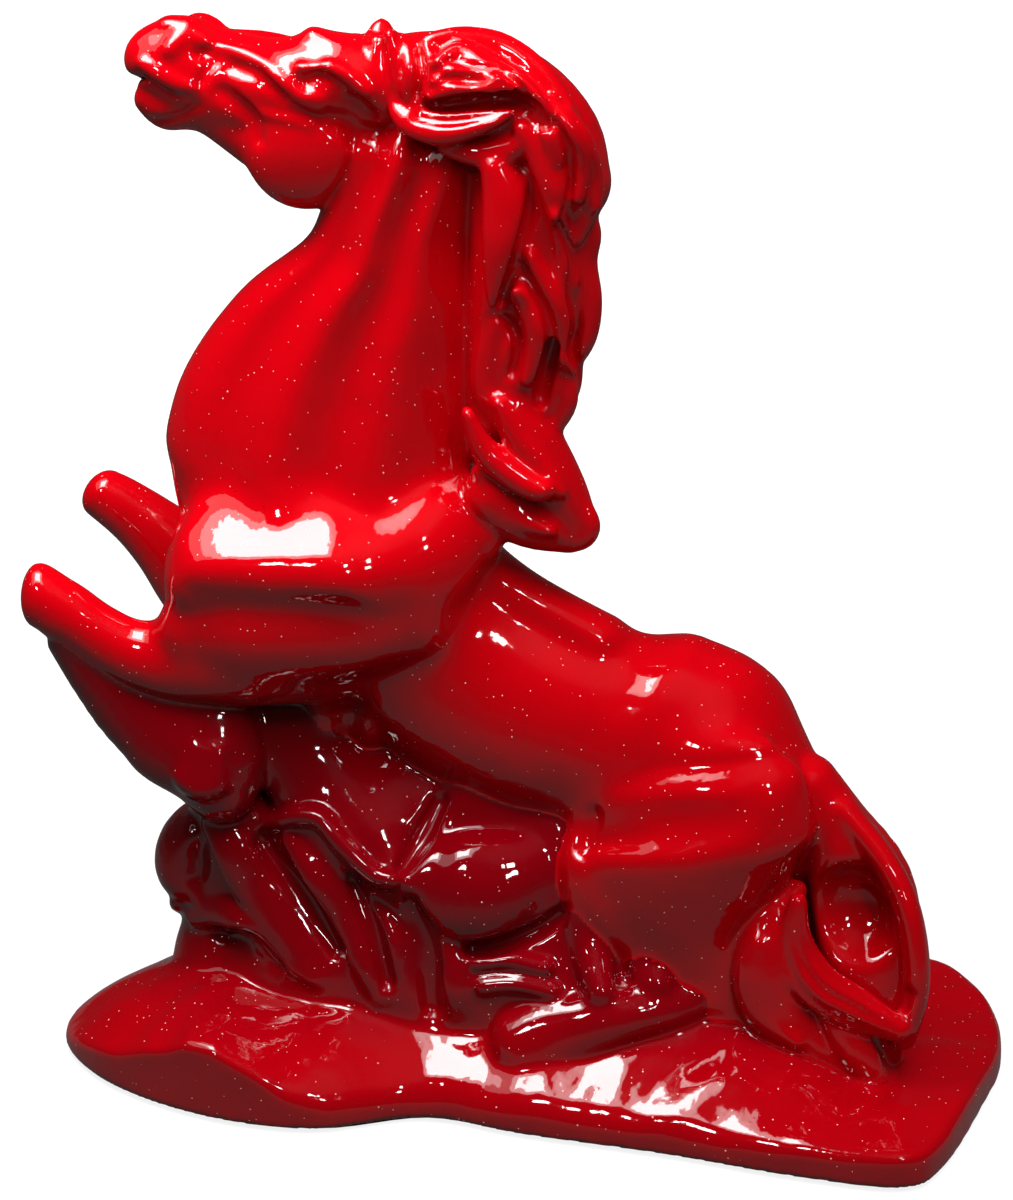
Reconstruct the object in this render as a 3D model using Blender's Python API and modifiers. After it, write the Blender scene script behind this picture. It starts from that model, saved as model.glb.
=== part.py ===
"""Rearing horse figurine on a rock base.

The figure is an assembly of resin castings, pinned with steel dowels, glued, lacquered red and
soled with felt. The horse faces -X, its near (left) side faces -Y, and it stands on z = 0.
"""

import math

import bmesh
import bpy
from mathutils import Vector

MM = 0.001

# Base and sole, in millimetres
BASE_LENGTH = 182.0
BASE_DEPTH = 95.0
SLAB_THICKNESS = 7.0
RIM_ROUND = 2.0
SOLE_THICKNESS = 1.0
SOLE_INSET = 3.0

# Widths of the castings across the horse, in millimetres
BARREL_WIDTH = 37.0
NECK_WIDTH = 33.0
HEAD_WIDTH = 25.0
THIGH_WIDTH = 23.0
FORELEG_WIDTH = 20.0
MANE_WIDTH = 26.0
TAIL_WIDTH = 20.0
EAR_WIDTH = 9.0
SPUR_WIDTH = 15.0

# How far the off hind leg stands ahead of the near one and below it, in millimetres
OFF_HIND_LEAD = 9.0
OFF_HIND_DROP = 5.0

# Joints between the castings, in millimetres
GLUE_GAP = 0.3
DOWEL_DIAMETER = 3.0
DOWEL_LENGTH = 22.0
SHORT_DOWEL_LENGTH = 14.0

# Faceting of the castings
RING_SIDES = 8
NECK_SIDES = 16
OUTLINE_STEPS = 4
BASE_RINGS = 11
DOWEL_SIDES = 12
END_SHARE = 0.6
END_CROWN = 0.3

# Lateral places that follow from the widths
THIGH_OFFSET = 0.38 * BARREL_WIDTH
FORELEG_OFFSET = 0.53 * NECK_WIDTH
# The muscles of the neck stand out from its section by this share, this far apart across it
NECK_RELIEF = 0.16
MUSCLE_PITCH = 0.8
MUSCLE_START = 0.3
SLAB_TOP = SOLE_THICKNESS + GLUE_GAP + SLAB_THICKNESS

# A station is (x, z, half height, half width as a share of the casting's width), on the casting's
# own plane, with z measured from the top of the slab.
TRUNK_STATIONS = (
    (-30, 86, 16, 0.34),
    (-20.5, 77, 20.5, 0.44),
    (-9, 67.5, 21.5, 0.49),
    (3, 62, 21, 0.50),
    (13.5, 59.5, 20, 0.48),
    (23.5, 58, 22, 0.49),
    (32.5, 52, 24, 0.50),
    (41, 45.5, 21.5, 0.47),
    (48.5, 40.5, 16.5, 0.38),
    (53.5, 38.5, 9, 0.22),
)
NECK_STATIONS = (
    (-35, 63, 15, 0.34),
    (-34.5, 79, 26, 0.45),
    (-36.5, 93, 29, 0.51),
    (-38.5, 104, 29.5, 0.53),
    (-39.6, 114, 30, 0.52),
    (-36.5, 126, 27.5, 0.48),
    (-31.5, 138, 22.5, 0.44),
    (-26, 149.5, 16.5, 0.38),
    (-23.5, 158, 14.5, 0.33),
    (-21, 168, 13.5, 0.27),
)
HEAD_STATIONS = (
    (-22, 177, 10, 0.32),
    (-32, 175.5, 15, 0.45),
    (-41, 175, 18.4, 0.50),
    (-48, 176, 16, 0.44),
    (-54, 180, 11.5, 0.36),
    (-59, 182.5, 10, 0.31),
    (-64, 183, 10.7, 0.33),
    (-68, 183, 10.5, 0.34),
    (-72.5, 182, 6.5, 0.26),
)
THIGH_STATIONS = (
    (39, 67, 13, 0.30),
    (38.5, 56, 20, 0.46),
    (36.5, 46, 22, 0.50),
    (33.5, 39, 21.5, 0.50),
    (33, 31.5, 18, 0.46),
    (35, 24, 11.5, 0.38),
    (41, 15, 7, 0.30),
    (48, 6, 6, 0.28),
)
NEAR_FORELEG_STATIONS = (
    (-10, 97, 9, 0.28),
    (-22.5, 91, 12.5, 0.42),
    (-36, 85.5, 16, 0.60),
    (-50.5, 81.5, 15.5, 0.58),
    (-61, 77.5, 12.8, 0.48),
    (-70.5, 75.5, 8, 0.36),
    (-81, 78.8, 5.8, 0.30),
    (-92, 85, 7, 0.34),
)
OFF_FORELEG_STATIONS = (
    (-16, 95, 9, 0.28),
    (-30, 88, 12.5, 0.42),
    (-46, 82, 15, 0.50),
    (-58.5, 79, 14, 0.46),
    (-67.5, 80, 12.5, 0.38),
    (-75.5, 85, 9, 0.32),
    (-82.5, 90, 6.4, 0.30),
    (-90, 95, 5.4, 0.32),
)
NEAR_EAR_STATIONS = (
    (-24, 178, 3.4, 0.50),
    (-14, 178.5, 4.0, 0.48),
    (-6, 180, 3.0, 0.36),
    (1, 182, 1.0, 0.14),
)
OFF_EAR_STATIONS = (
    (-27, 178, 3.6, 0.50),
    (-28, 185.5, 3.0, 0.42),
    (-28.7, 193, 1.3, 0.18),
)
CREST_STATIONS = (
    (-26, 184, 5.5, 0.28),
    (-19, 185.5, 7.4, 0.38),
    (-10, 184.5, 9, 0.44),
    (-3, 181, 9.6, 0.48),
    (2, 175.5, 10, 0.50),
    (3.5, 168.5, 9.6, 0.50),
)
FALL_STATIONS = (
    (4.5, 172, 6.4, 0.36),
    (3.5, 164, 9.6, 0.48),
    (2.5, 156, 10.5, 0.50),
    (1.5, 148, 11, 0.48),
    (1, 139, 11.5, 0.44),
    (0, 129, 10.5, 0.38),
    (0, 120, 7.4, 0.28),
)
HOOK_STATIONS = (
    (-9, 126, 4, 0.20),
    (-3, 116.5, 7, 0.30),
    (0, 109, 8.4, 0.36),
    (4, 103, 9, 0.36),
    (7.5, 97.5, 7.5, 0.28),
)
TAIL_DOCK_STATIONS = (
    (49, 48, 5.4, 0.24),
    (60, 41, 7.8, 0.40),
    (68, 32.5, 9.2, 0.46),
    (70.5, 22, 8.8, 0.46),
    (70.5, 12, 7.6, 0.40),
    (70, 4, 5.4, 0.30),
)
TAIL_SWIRL_STATIONS = (
    (53, 37, 4, 0.22),
    (48.5, 27, 5.6, 0.34),
    (49.5, 19, 6.6, 0.44),
    (55.5, 12.5, 7.6, 0.48),
    (64, 7, 6.8, 0.44),
    (72, 1.5, 4.4, 0.30),
)
SPUR_STATIONS = (
    (-88.5, 73, 3.4, 0.30),
    (-79, 64.5, 4.2, 0.38),
    (-71.5, 57.5, 5.8, 0.46),
    (-63.5, 52, 7, 0.50),
    (-56, 44, 8, 0.50),
    (-50, 34, 8, 0.46),
)
# A rock is (x, y, half length, half depth, height above the slab, turn in degrees, steepness).
ROCKS = (
    (-16, -2, 60, 29, 34, 0, 4.0),
    (-30, 0, 38, 28, 18, 0, 2.0),
    (0, 0, 26, 22, 12, 0, 1.5),
    (38, 0, 26, 22, 10, 0, 2.0),
    (-62, -4, 15, 17, 15, 0, 2.0),
    (-42, -16, 16, 13, 10, 0, 2.0),
    (-15, -18, 24, 13, 10, 0, 2.0),
    (22, -26, 20, 9, 12, 8, 1.5),
)

# The rim of the base along the front: (place along the half length, height as a share of the slab's
# thickness, slope of the apron behind it)
RIM = (
    (-1.00, 0.45, 0.50),
    (-0.86, 0.85, 0.50),
    (-0.74, 1.40, 0.35),
    (-0.62, 1.95, 0.22),
    (-0.55, 1.95, 0.22),
    (-0.48, 1.50, 0.35),
    (-0.40, 0.95, 0.60),
    (-0.13, 0.70, 0.85),
    (0.22, 0.80, 0.65),
    (0.50, 0.90, 0.40),
    (0.68, 0.95, 0.10),
    (1.00, 1.00, 0.03),
)
BACK_RIM = 0.80
APRON_REACH = 20.0

# Planes across the horse on which an ear or a lock of hair is centred
HOOK_PLANE = -4.0
DOCK_PLANE = -0.20 * TAIL_WIDTH
SWIRL_PLANE = -0.62 * TAIL_WIDTH
NEAR_EAR_PLANE = -0.42 * HEAD_WIDTH
OFF_EAR_PLANE = 0.22 * HEAD_WIDTH

# The base's outline, as shares of its half length and half depth, from the left tip round the front
OUTLINE = (
    (-0.98, -0.26),
    (-0.86, -0.66),
    (-0.62, -0.95),
    (-0.36, -0.99),
    (-0.14, -0.77),
    (0.08, -0.84),
    (0.38, -0.90),
    (0.66, -0.99),
    (0.88, -1.00),
    (0.95, -0.78),
    (0.99, -0.20),
    (1.00, 0.20),
    (0.94, 0.62),
    (0.78, 0.97),
    (0.45, 0.95),
    (0.10, 0.86),
    (-0.28, 0.84),
    (-0.62, 0.64),
    (-0.88, 0.22),
)

RED = (0.62, 0.004, 0.012, 1.0)
STEEL = (0.62, 0.62, 0.64, 1.0)
FELT = (0.02, 0.02, 0.022, 1.0)


def clear_scene():
    """Removes every object, so that the script can be run again."""
    for existing in list(bpy.data.objects):
        bpy.data.objects.remove(existing)


def new_collection(name):
    """A collection in the scene."""
    made = bpy.data.collections.new(name)
    bpy.context.scene.collection.children.link(made)
    return made


def new_material(name, colour, roughness, metallic=0.0):
    """A Principled material."""
    made = bpy.data.materials.new(name)
    made.use_nodes = True
    shader = made.node_tree.nodes["Principled BSDF"]
    shader.inputs["Base Color"].default_value = colour
    shader.inputs["Roughness"].default_value = roughness
    shader.inputs["Metallic"].default_value = metallic
    return made


class Workshop:
    """The collections, materials and parent that every piece shares."""

    def __init__(self):
        self.parts = new_collection("horse_figurine")
        self.cutters = new_collection("cutters")
        self.lacquer = new_material("red_lacquer", RED, 0.12)
        self.steel = new_material("dowel_steel", STEEL, 0.35, 1.0)
        self.felt = new_material("sole_felt", FELT, 0.95)
        self.figure = bpy.data.objects.new("figure_on_slab", None)
        self.figure.location.z = SLAB_TOP * MM
        self.parts.objects.link(self.figure)

    def add_part(self, name, mesh, material, parent=None):
        """A named part of the assembly."""
        made = bpy.data.objects.new(name, mesh)
        made.data.materials.append(material)
        made.parent = parent
        self.parts.objects.link(made)
        return made

    def add_cutter(self, name, mesh, parent=None):
        """A hidden solid that only cuts or joins other pieces."""
        made = bpy.data.objects.new(name, mesh)
        made.hide_render = True
        made.display_type = "WIRE"
        made.parent = parent
        self.cutters.objects.link(made)
        return made


def mesh_from_bmesh(name, shape):
    """Turns a bmesh into a smooth-shaded mesh with its faces pointing out."""
    bmesh.ops.recalc_face_normals(shape, faces=shape.faces)
    mesh = bpy.data.meshes.new(name)
    shape.to_mesh(mesh)
    shape.free()
    mesh.shade_smooth()
    return mesh


def section_ring(shape, centre, along, half_height, half_width, sides, relief):
    """An elliptical ring of vertices square to the direction along, swollen to survive subdivision and waved by a relief."""
    across = Vector((0, 1, 0))
    side = (across - along * across.dot(along)).normalized()
    rise = side.cross(along)
    swell = 3 / (2 + math.cos(math.tau / sides))
    ring = []
    for step in range(sides):
        angle = math.tau * (step + 0.5) / sides
        wave = 1 + relief * math.cos(math.tau * (math.sin(angle) + MUSCLE_START) / MUSCLE_PITCH)
        offset = side * half_width * wave * math.cos(angle) + rise * half_height * math.sin(angle)
        ring.append(shape.verts.new(centre + offset * swell))
    return ring


def close_end(shape, ring, neighbour):
    """Closes a cage's end with a smaller crown ring, which keeps the end full when it is rounded."""
    centre = sum((v.co for v in ring), Vector()) / len(ring)
    inner = sum((v.co for v in neighbour), Vector()) / len(neighbour)
    radius = sum((v.co - centre).length for v in ring) / len(ring)
    lift = (centre - inner).normalized() * radius * END_CROWN
    crown = [shape.verts.new(centre.lerp(v.co, END_SHARE) + lift) for v in ring]
    for step in range(len(ring)):
        beyond = (step + 1) % len(ring)
        shape.faces.new((ring[step], ring[beyond], crown[beyond], crown[step]))
    shape.faces.new(crown)


def loft_cage(name, stations, width, plane, sides, relief):
    """A coarse closed cage through elliptical sections, one for each station."""
    shape = bmesh.new()
    centres = [Vector((x, plane, z)) * MM for x, z, _, _ in stations]
    rings = []
    for number, (_, _, half_height, share) in enumerate(stations):
        before = centres[max(number - 1, 0)]
        after = centres[min(number + 1, len(centres) - 1)]
        along = (after - before).normalized()
        size = (half_height * MM, share * width * MM)
        rings.append(section_ring(shape, centres[number], along, *size, sides, relief))
    for ring, following in zip(rings, rings[1:]):
        for step in range(sides):
            beyond = (step + 1) % sides
            shape.faces.new((ring[step], ring[beyond], following[beyond], following[step]))
    for ring, neighbour in ((rings[0], rings[1]), (rings[-1], rings[-2])):
        close_end(shape, ring, neighbour)
    return mesh_from_bmesh(name, shape)


def subdivide(piece, levels):
    """Rounds a cage."""
    modifier = piece.modifiers.new("round", "SUBSURF")
    modifier.levels = levels
    modifier.render_levels = levels


def boolean(piece, other, operation):
    """Cuts or joins another solid."""
    modifier = piece.modifiers.new(operation.lower() + "_" + other.name, "BOOLEAN")
    modifier.operation = operation
    modifier.object = other


class Casting:
    """A lofted casting with a grown twin, which cuts its neighbours with the glue gap."""

    def __init__(self, shop, name, stations, width, plane=0.0, levels=1, sides=RING_SIDES, relief=0.0):
        cage = loft_cage(name, stations, width, plane, sides, relief)
        self.solid = shop.add_part(name, cage, shop.lacquer, shop.figure)
        self.grown = shop.add_cutter(name + "_grown", cage.copy(), shop.figure)
        for piece in (self.solid, self.grown):
            subdivide(piece, levels)
        swell = self.grown.modifiers.new("glue_gap", "DISPLACE")
        swell.strength = GLUE_GAP * MM
        swell.mid_level = 0.0

    def make_room_for(self, *castings):
        """Cuts away what other castings take up, with the glue gap."""
        for casting in castings:
            boolean(self.solid, casting.grown, "DIFFERENCE")


def cylinder_mesh(name, radius, length):
    """A closed cylinder along Z."""
    shape = bmesh.new()
    bmesh.ops.create_cone(
        shape,
        cap_ends=True,
        segments=DOWEL_SIDES,
        radius1=radius * MM,
        radius2=radius * MM,
        depth=length * MM,
    )
    mesh = mesh_from_bmesh(name, shape)
    mesh.set_sharp_from_angle(angle=math.radians(40))
    return mesh


def add_dowel(shop, name, solids, middle, along, length):
    """A steel pin across a joint, and its hole in the solids that it joins."""
    turn = Vector((0, 0, 1)).rotation_difference(Vector(along).normalized())
    radius = DOWEL_DIAMETER / 2
    pin = shop.add_part(name, cylinder_mesh(name, radius, length), shop.steel, shop.figure)
    hole_mesh = cylinder_mesh(name + "_hole", radius + GLUE_GAP, length + 2 * GLUE_GAP)
    hole = shop.add_cutter(name + "_hole", hole_mesh, shop.figure)
    for piece in (pin, hole):
        piece.location = Vector(middle) * MM
        piece.rotation_mode = "QUATERNION"
        piece.rotation_quaternion = turn
    for solid in solids:
        boolean(solid, hole, "DIFFERENCE")


def outline_curve(name, inset):
    """The base's outline as a closed flat curve, drawn in by an inset."""
    curve = bpy.data.curves.new(name, "CURVE")
    curve.dimensions = "2D"
    curve.fill_mode = "BOTH"
    curve.resolution_u = OUTLINE_STEPS
    spline = curve.splines.new("BEZIER")
    spline.bezier_points.add(len(OUTLINE) - 1)
    spline.use_cyclic_u = True
    for point, (along, across) in zip(spline.bezier_points, OUTLINE):
        x = along * (BASE_LENGTH / 2 - inset)
        y = across * (BASE_DEPTH / 2 - inset)
        point.co = (x * MM, y * MM, 0)
        point.handle_left_type = "AUTO"
        point.handle_right_type = "AUTO"
    return curve


def mesh_from_curve(name, curve):
    """The curve's own mesh, with its caps welded on."""
    drawn = bpy.data.objects.new(name + "_drawn", curve)
    bpy.context.scene.collection.objects.link(drawn)
    evaluated = drawn.evaluated_get(bpy.context.evaluated_depsgraph_get())
    mesh = bpy.data.meshes.new_from_object(evaluated)
    bpy.data.objects.remove(drawn)
    shape = bmesh.new()
    shape.from_mesh(mesh)
    bmesh.ops.remove_doubles(shape, verts=shape.verts, dist=0.01 * MM)
    return shape


def sole_mesh(name):
    """The felt sole: the base's outline, drawn in, as a plate standing on z = 0."""
    curve = outline_curve(name, SOLE_INSET)
    curve.extrude = SOLE_THICKNESS / 2 * MM
    shape = mesh_from_curve(name, curve)
    bmesh.ops.translate(shape, verts=shape.verts, vec=(0, 0, SOLE_THICKNESS / 2 * MM))
    return mesh_from_bmesh(name, shape)


def rock_height(x, y):
    """Height of the rocks above the slab's top at a place: the sum of smooth flat-topped bumps."""
    height = 0.0
    for rock_x, rock_y, half_length, half_depth, rise, turn, steepness in ROCKS:
        angle = math.radians(turn)
        along = (x - rock_x) * math.cos(angle) + (y - rock_y) * math.sin(angle)
        across = (y - rock_y) * math.cos(angle) - (x - rock_x) * math.sin(angle)
        reach = math.hypot(along / half_length, across / half_depth)
        if reach < 1:
            height += rise * (1 - reach ** (2 * steepness)) ** 2
    return height


def rim_at(x, y):
    """Height of the rim above the base's underside, and slope of the apron, beside a place."""
    along = max(min(x / (BASE_LENGTH / 2), RIM[-1][0]), RIM[0][0])
    for before, after in zip(RIM, RIM[1:]):
        if along <= after[0]:
            break
    share = (along - before[0]) / (after[0] - before[0])
    height = before[1] + share * (after[1] - before[1])
    slope = before[2] + share * (after[2] - before[2])
    front = max(min(0.5 - y / (0.2 * BASE_DEPTH), 1.0), 0.0)
    back = min(BACK_RIM, height) if x < 0 else BACK_RIM
    return (front * height + (1 - front) * back) * SLAB_THICKNESS, slope


def base_top(rim_x, rim_y, share):
    """Height of the base's top above its underside: the apron that climbs from the rim, or the rocks above it."""
    height, slope = rim_at(rim_x * share, rim_y * share)
    lean = Vector((rim_x / BASE_LENGTH**2, rim_y / BASE_DEPTH**2)).normalized()
    inward = (1 - share) * Vector((rim_x, rim_y)).dot(lean)
    apron = height + slope * APRON_REACH * math.tanh(inward / APRON_REACH)
    return max(apron, SLAB_THICKNESS + rock_height(rim_x * share, rim_y * share))


def rock_base_mesh(name):
    """The base: rings of its outline, drawn in towards the middle and lifted over the apron and the rocks."""
    rim = mesh_from_curve(name, outline_curve(name, 0.0))
    edge = [e for e in rim.edges if e.is_boundary]
    loop = sorted({v for e in edge for v in e.verts}, key=lambda v: math.atan2(v.co.y, v.co.x))
    rim_points = [(v.co.x / MM, v.co.y / MM) for v in loop]
    rim.free()
    inset = 1 - RIM_ROUND / (BASE_DEPTH / 2)
    shares = [inset * (1 - number / BASE_RINGS) for number in range(BASE_RINGS)]
    shape = bmesh.new()
    columns = []
    for x, y in rim_points:
        rise = base_top(x, y, inset)
        round_off = min(RIM_ROUND, 0.3 * rise)
        column = [(inset, 0.0), (1.0, round_off), (1.0, rise - round_off)]
        column += [(share, base_top(x, y, share)) for share in shares]
        columns.append([shape.verts.new(Vector((x * share, y * share, z)) * MM) for share, z in column])
    rings = list(zip(*columns))
    count = len(rim_points)
    for ring, following in zip(rings, rings[1:]):
        for step in range(count):
            beyond = (step + 1) % count
            shape.faces.new((ring[step], ring[beyond], following[beyond], following[step]))
    shape.faces.new(rings[0])
    shape.faces.new(rings[-1])
    return mesh_from_bmesh(name, shape)


def build_horse(shop):
    """The horse's castings, each cut to fit round the larger ones."""
    off_thigh = [
        (x - OFF_HIND_LEAD, z - OFF_HIND_DROP, half, share) for x, z, half, share in THIGH_STATIONS
    ]
    horse = {
        "trunk": Casting(shop, "trunk", TRUNK_STATIONS, BARREL_WIDTH, levels=1),
        "neck": Casting(
            shop, "neck", NECK_STATIONS, NECK_WIDTH, levels=1, sides=NECK_SIDES, relief=NECK_RELIEF
        ),
        "head": Casting(shop, "head", HEAD_STATIONS, HEAD_WIDTH, levels=1),
        "near_hind_leg": Casting(shop, "near_hind_leg", THIGH_STATIONS, THIGH_WIDTH, -THIGH_OFFSET),
        "off_hind_leg": Casting(shop, "off_hind_leg", off_thigh, THIGH_WIDTH, THIGH_OFFSET),
        "near_foreleg": Casting(
            shop, "near_foreleg", NEAR_FORELEG_STATIONS, FORELEG_WIDTH, -FORELEG_OFFSET
        ),
        "off_foreleg": Casting(
            shop, "off_foreleg", OFF_FORELEG_STATIONS, FORELEG_WIDTH, FORELEG_OFFSET
        ),
    }
    trunk, neck, head = horse["trunk"], horse["neck"], horse["head"]
    neck.make_room_for(trunk)
    head.make_room_for(neck)
    for leg in ("near_hind_leg", "off_hind_leg"):
        horse[leg].make_room_for(trunk)
    for leg in ("near_foreleg", "off_foreleg"):
        horse[leg].make_room_for(trunk, neck)
    return horse


def build_hair(shop, horse):
    """Ears, mane and tail."""
    trunk, neck, head = horse["trunk"], horse["neck"], horse["head"]
    near_hind = horse["near_hind_leg"]
    hair = {
        "near_ear": Casting(shop, "near_ear", NEAR_EAR_STATIONS, EAR_WIDTH, NEAR_EAR_PLANE),
        "off_ear": Casting(shop, "off_ear", OFF_EAR_STATIONS, EAR_WIDTH, OFF_EAR_PLANE),
        "mane_crest": Casting(shop, "mane_crest", CREST_STATIONS, MANE_WIDTH),
        "mane_fall": Casting(shop, "mane_fall", FALL_STATIONS, MANE_WIDTH),
        "mane_hook": Casting(shop, "mane_hook", HOOK_STATIONS, MANE_WIDTH, HOOK_PLANE),
        "tail_dock": Casting(shop, "tail_dock", TAIL_DOCK_STATIONS, TAIL_WIDTH, DOCK_PLANE),
        "tail_swirl": Casting(shop, "tail_swirl", TAIL_SWIRL_STATIONS, TAIL_WIDTH, SWIRL_PLANE),
    }
    hair["near_ear"].make_room_for(head, neck)
    hair["off_ear"].make_room_for(head)
    hair["mane_crest"].make_room_for(head, neck, hair["near_ear"], hair["off_ear"])
    hair["mane_fall"].make_room_for(neck, hair["mane_crest"], hair["near_ear"])
    hair["mane_hook"].make_room_for(trunk, neck, hair["mane_fall"])
    hair["tail_dock"].make_room_for(trunk, near_hind, horse["off_hind_leg"])
    hair["tail_swirl"].make_room_for(trunk, near_hind, hair["tail_dock"])
    return hair


def build_base(shop, horse, hair):
    """The rock base, the spur that carries the near forefoot, and the felt sole."""
    spur = Casting(shop, "fore_spur", SPUR_STATIONS, SPUR_WIDTH, -FORELEG_OFFSET)
    spur.make_room_for(horse["near_foreleg"], horse["neck"])
    base = shop.add_part("rock_base", rock_base_mesh("rock_base"), shop.lacquer)
    base.location.z = (SOLE_THICKNESS + GLUE_GAP) * MM
    fitted = list(horse.values()) + [hair["tail_dock"], hair["tail_swirl"], spur]
    for casting in fitted:
        boolean(base, casting.grown, "DIFFERENCE")
    shop.add_part("felt_sole", sole_mesh("felt_sole"), shop.felt)
    return base, spur


def pin_together(shop, horse, hair, base, spur):
    """The steel dowels across the joints."""
    trunk, neck, head = (horse[name].solid for name in ("trunk", "neck", "head"))
    flank = 0.46 * BARREL_WIDTH
    shoulder = 0.44 * NECK_WIDTH
    short, long = SHORT_DOWEL_LENGTH, DOWEL_LENGTH
    along, across, up = (1, 0, 0), (0, 1, 0), (0, 0, 1)
    crest, fall, hook = (hair[name].solid for name in ("mane_crest", "mane_fall", "mane_hook"))
    dock, swirl = hair["tail_dock"].solid, hair["tail_swirl"].solid
    pins = (
        ("neck_dowel", (trunk, neck), (-37, 0, 92), (-0.5, 0, 0.9), long),
        ("head_dowel", (neck, head), (-24, 0, 170), (-0.8, 0, 0.6), long),
        ("trunk_dowel", (trunk, base), (2, 0, 41), up, long),
        ("near_shoulder_dowel", (neck, horse["near_foreleg"].solid), (-47, -shoulder, 84), across, short),
        ("off_shoulder_dowel", (neck, horse["off_foreleg"].solid), (-47, shoulder, 82), across, short),
        ("near_hip_dowel", (trunk, horse["near_hind_leg"].solid), (36, -flank, 47), across, short),
        ("off_hip_dowel", (trunk, horse["off_hind_leg"].solid), (30, flank, 44), across, short),
        ("crest_dowel", (head, crest), (-19.5, 0, 182.5), along, short),
        ("fall_dowel", (neck, fall), (-8.5, 0, 146), along, short),
        ("hook_dowel", (neck, hook), (-8.5, HOOK_PLANE, 108), along, short),
        ("tail_dowel", (trunk, dock), (55, DOCK_PLANE, 42), (0.8, 0, -0.6), short),
        ("swirl_dowel", (swirl, base), (64, SWIRL_PLANE, 2), up, short),
        ("spur_dowel", (spur.solid, base), (-49.5, -FORELEG_OFFSET, 33), (0.5, 0, -0.86), short),
    )
    for name, solids, middle, direction, length in pins:
        add_dowel(shop, name, solids, middle, direction, length)


def main():
    """Builds the whole figurine."""
    clear_scene()
    shop = Workshop()
    horse = build_horse(shop)
    hair = build_hair(shop, horse)
    base, spur = build_base(shop, horse, hair)
    pin_together(shop, horse, hair, base, spur)


main()
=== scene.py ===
"""Dressed model of a red lacquered horse figurine, built around its packed assembly.

Every casting is modelled as clay: a signed distance field put together from oval sections carried along
paths, then skinned where the field is zero. One field holds them all, so that the lacquer pools over the
joints as on the real figurine, and each casting keeps its own closed mesh. Lengths are in millimetres and
the meshes are in metres.
"""

import logging
import math
from dataclasses import dataclass, field
from enum import Enum

import bpy
import numpy as np
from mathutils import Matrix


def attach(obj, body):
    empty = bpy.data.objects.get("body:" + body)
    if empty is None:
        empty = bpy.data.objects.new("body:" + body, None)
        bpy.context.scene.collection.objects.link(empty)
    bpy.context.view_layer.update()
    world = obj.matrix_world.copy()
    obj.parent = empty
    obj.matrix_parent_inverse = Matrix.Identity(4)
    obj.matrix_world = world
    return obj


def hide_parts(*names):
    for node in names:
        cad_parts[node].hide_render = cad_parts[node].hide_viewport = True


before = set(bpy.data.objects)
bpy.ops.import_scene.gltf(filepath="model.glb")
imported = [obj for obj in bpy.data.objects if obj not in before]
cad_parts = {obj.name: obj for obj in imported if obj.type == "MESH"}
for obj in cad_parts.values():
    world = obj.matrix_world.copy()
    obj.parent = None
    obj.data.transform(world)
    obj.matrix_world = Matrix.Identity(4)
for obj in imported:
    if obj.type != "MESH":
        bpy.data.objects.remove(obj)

LOG = logging.getLogger("horse_figurine")
MM = 0.001
FAR = 30.0
MARGIN = 7.0
TINY = 1e-9
SOFT = np.float32(1e-4)
WHITE = (1.0, 1.0, 1.0, 1.0)
RAY_ROOM = 130.0
RAY_STEP = 0.5
BLOCK_LOW = (-100.0, -56.0, -2.0)
BLOCK_HIGH = (100.0, 56.0, 212.0)
PITCH = 0.74
SENSOR = 36.0
SLAB_TOP = 8.3
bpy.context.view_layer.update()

Rows = list[tuple[float, ...]]
Reals = float | tuple[float, ...]
Colour = tuple[float, float, float, float]
Window = tuple[slice, slice, slice]


class Plane(Enum):
    """How a sweep's rows are given: by a place in the photograph and a depth, or in the object's frame."""

    PHOTO = "photo"
    BODY = "body"


@dataclass(frozen=True)
class PhotoView:
    """The photograph's camera, in the object's frame.

    Attributes:
        azimuth: Degrees that the camera stands round to the right of the horse's near side.
        elevation: Degrees that it stands above the horizon.
        distance: Millimetres from the camera to the target.
        target: The point that the middle of the photograph shows.
        focal: Focal length in pixels.
        width: Pixels across.
        height: Pixels down.
    """

    azimuth: float = 12.0
    elevation: float = 20.0
    distance: float = 1000.0
    target: tuple[float, float, float] = (0.0, -20.0, 100.0)
    focal: float = 5420.0
    width: int = 1013
    height: int = 1200

    def axes(self) -> tuple[np.ndarray, np.ndarray, np.ndarray]:
        """The camera's right, up and backward unit vectors."""
        turn, rise = math.radians(self.azimuth), math.radians(self.elevation)
        back = np.array([math.sin(turn) * math.cos(rise), -math.cos(turn) * math.cos(rise), math.sin(rise)])
        right = np.array([math.cos(turn), math.sin(turn), 0.0])
        return right, np.cross(back, right), back

    def eye(self) -> np.ndarray:
        """The camera's place."""
        return np.array(self.target) + self.distance * self.axes()[2]

    def rays(self, across: np.ndarray, down: np.ndarray) -> np.ndarray:
        """Finds the directions of the rays through pixels.

        Args:
            across: Pixels from the left.
            down: Pixels from the top.

        Returns:
            One direction a row, one unit long along the camera's axis.
        """
        right, up, back = self.axes()
        return (
            np.outer((across - self.width / 2) / self.focal, right)
            - np.outer((down - self.height / 2) / self.focal, up)
            - back
        )

    def place(self, across: np.ndarray, down: np.ndarray, depth: np.ndarray) -> np.ndarray:
        """Finds where the rays through pixels meet upright planes along the horse.

        Args:
            across: Pixels from the left.
            down: Pixels from the top.
            depth: The y of each plane.

        Returns:
            One point a row.
        """
        ray, eye = self.rays(across, down), self.eye()
        return eye + ray * ((depth - eye[1]) / ray[:, 1])[:, None]


VIEW = PhotoView()


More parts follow.
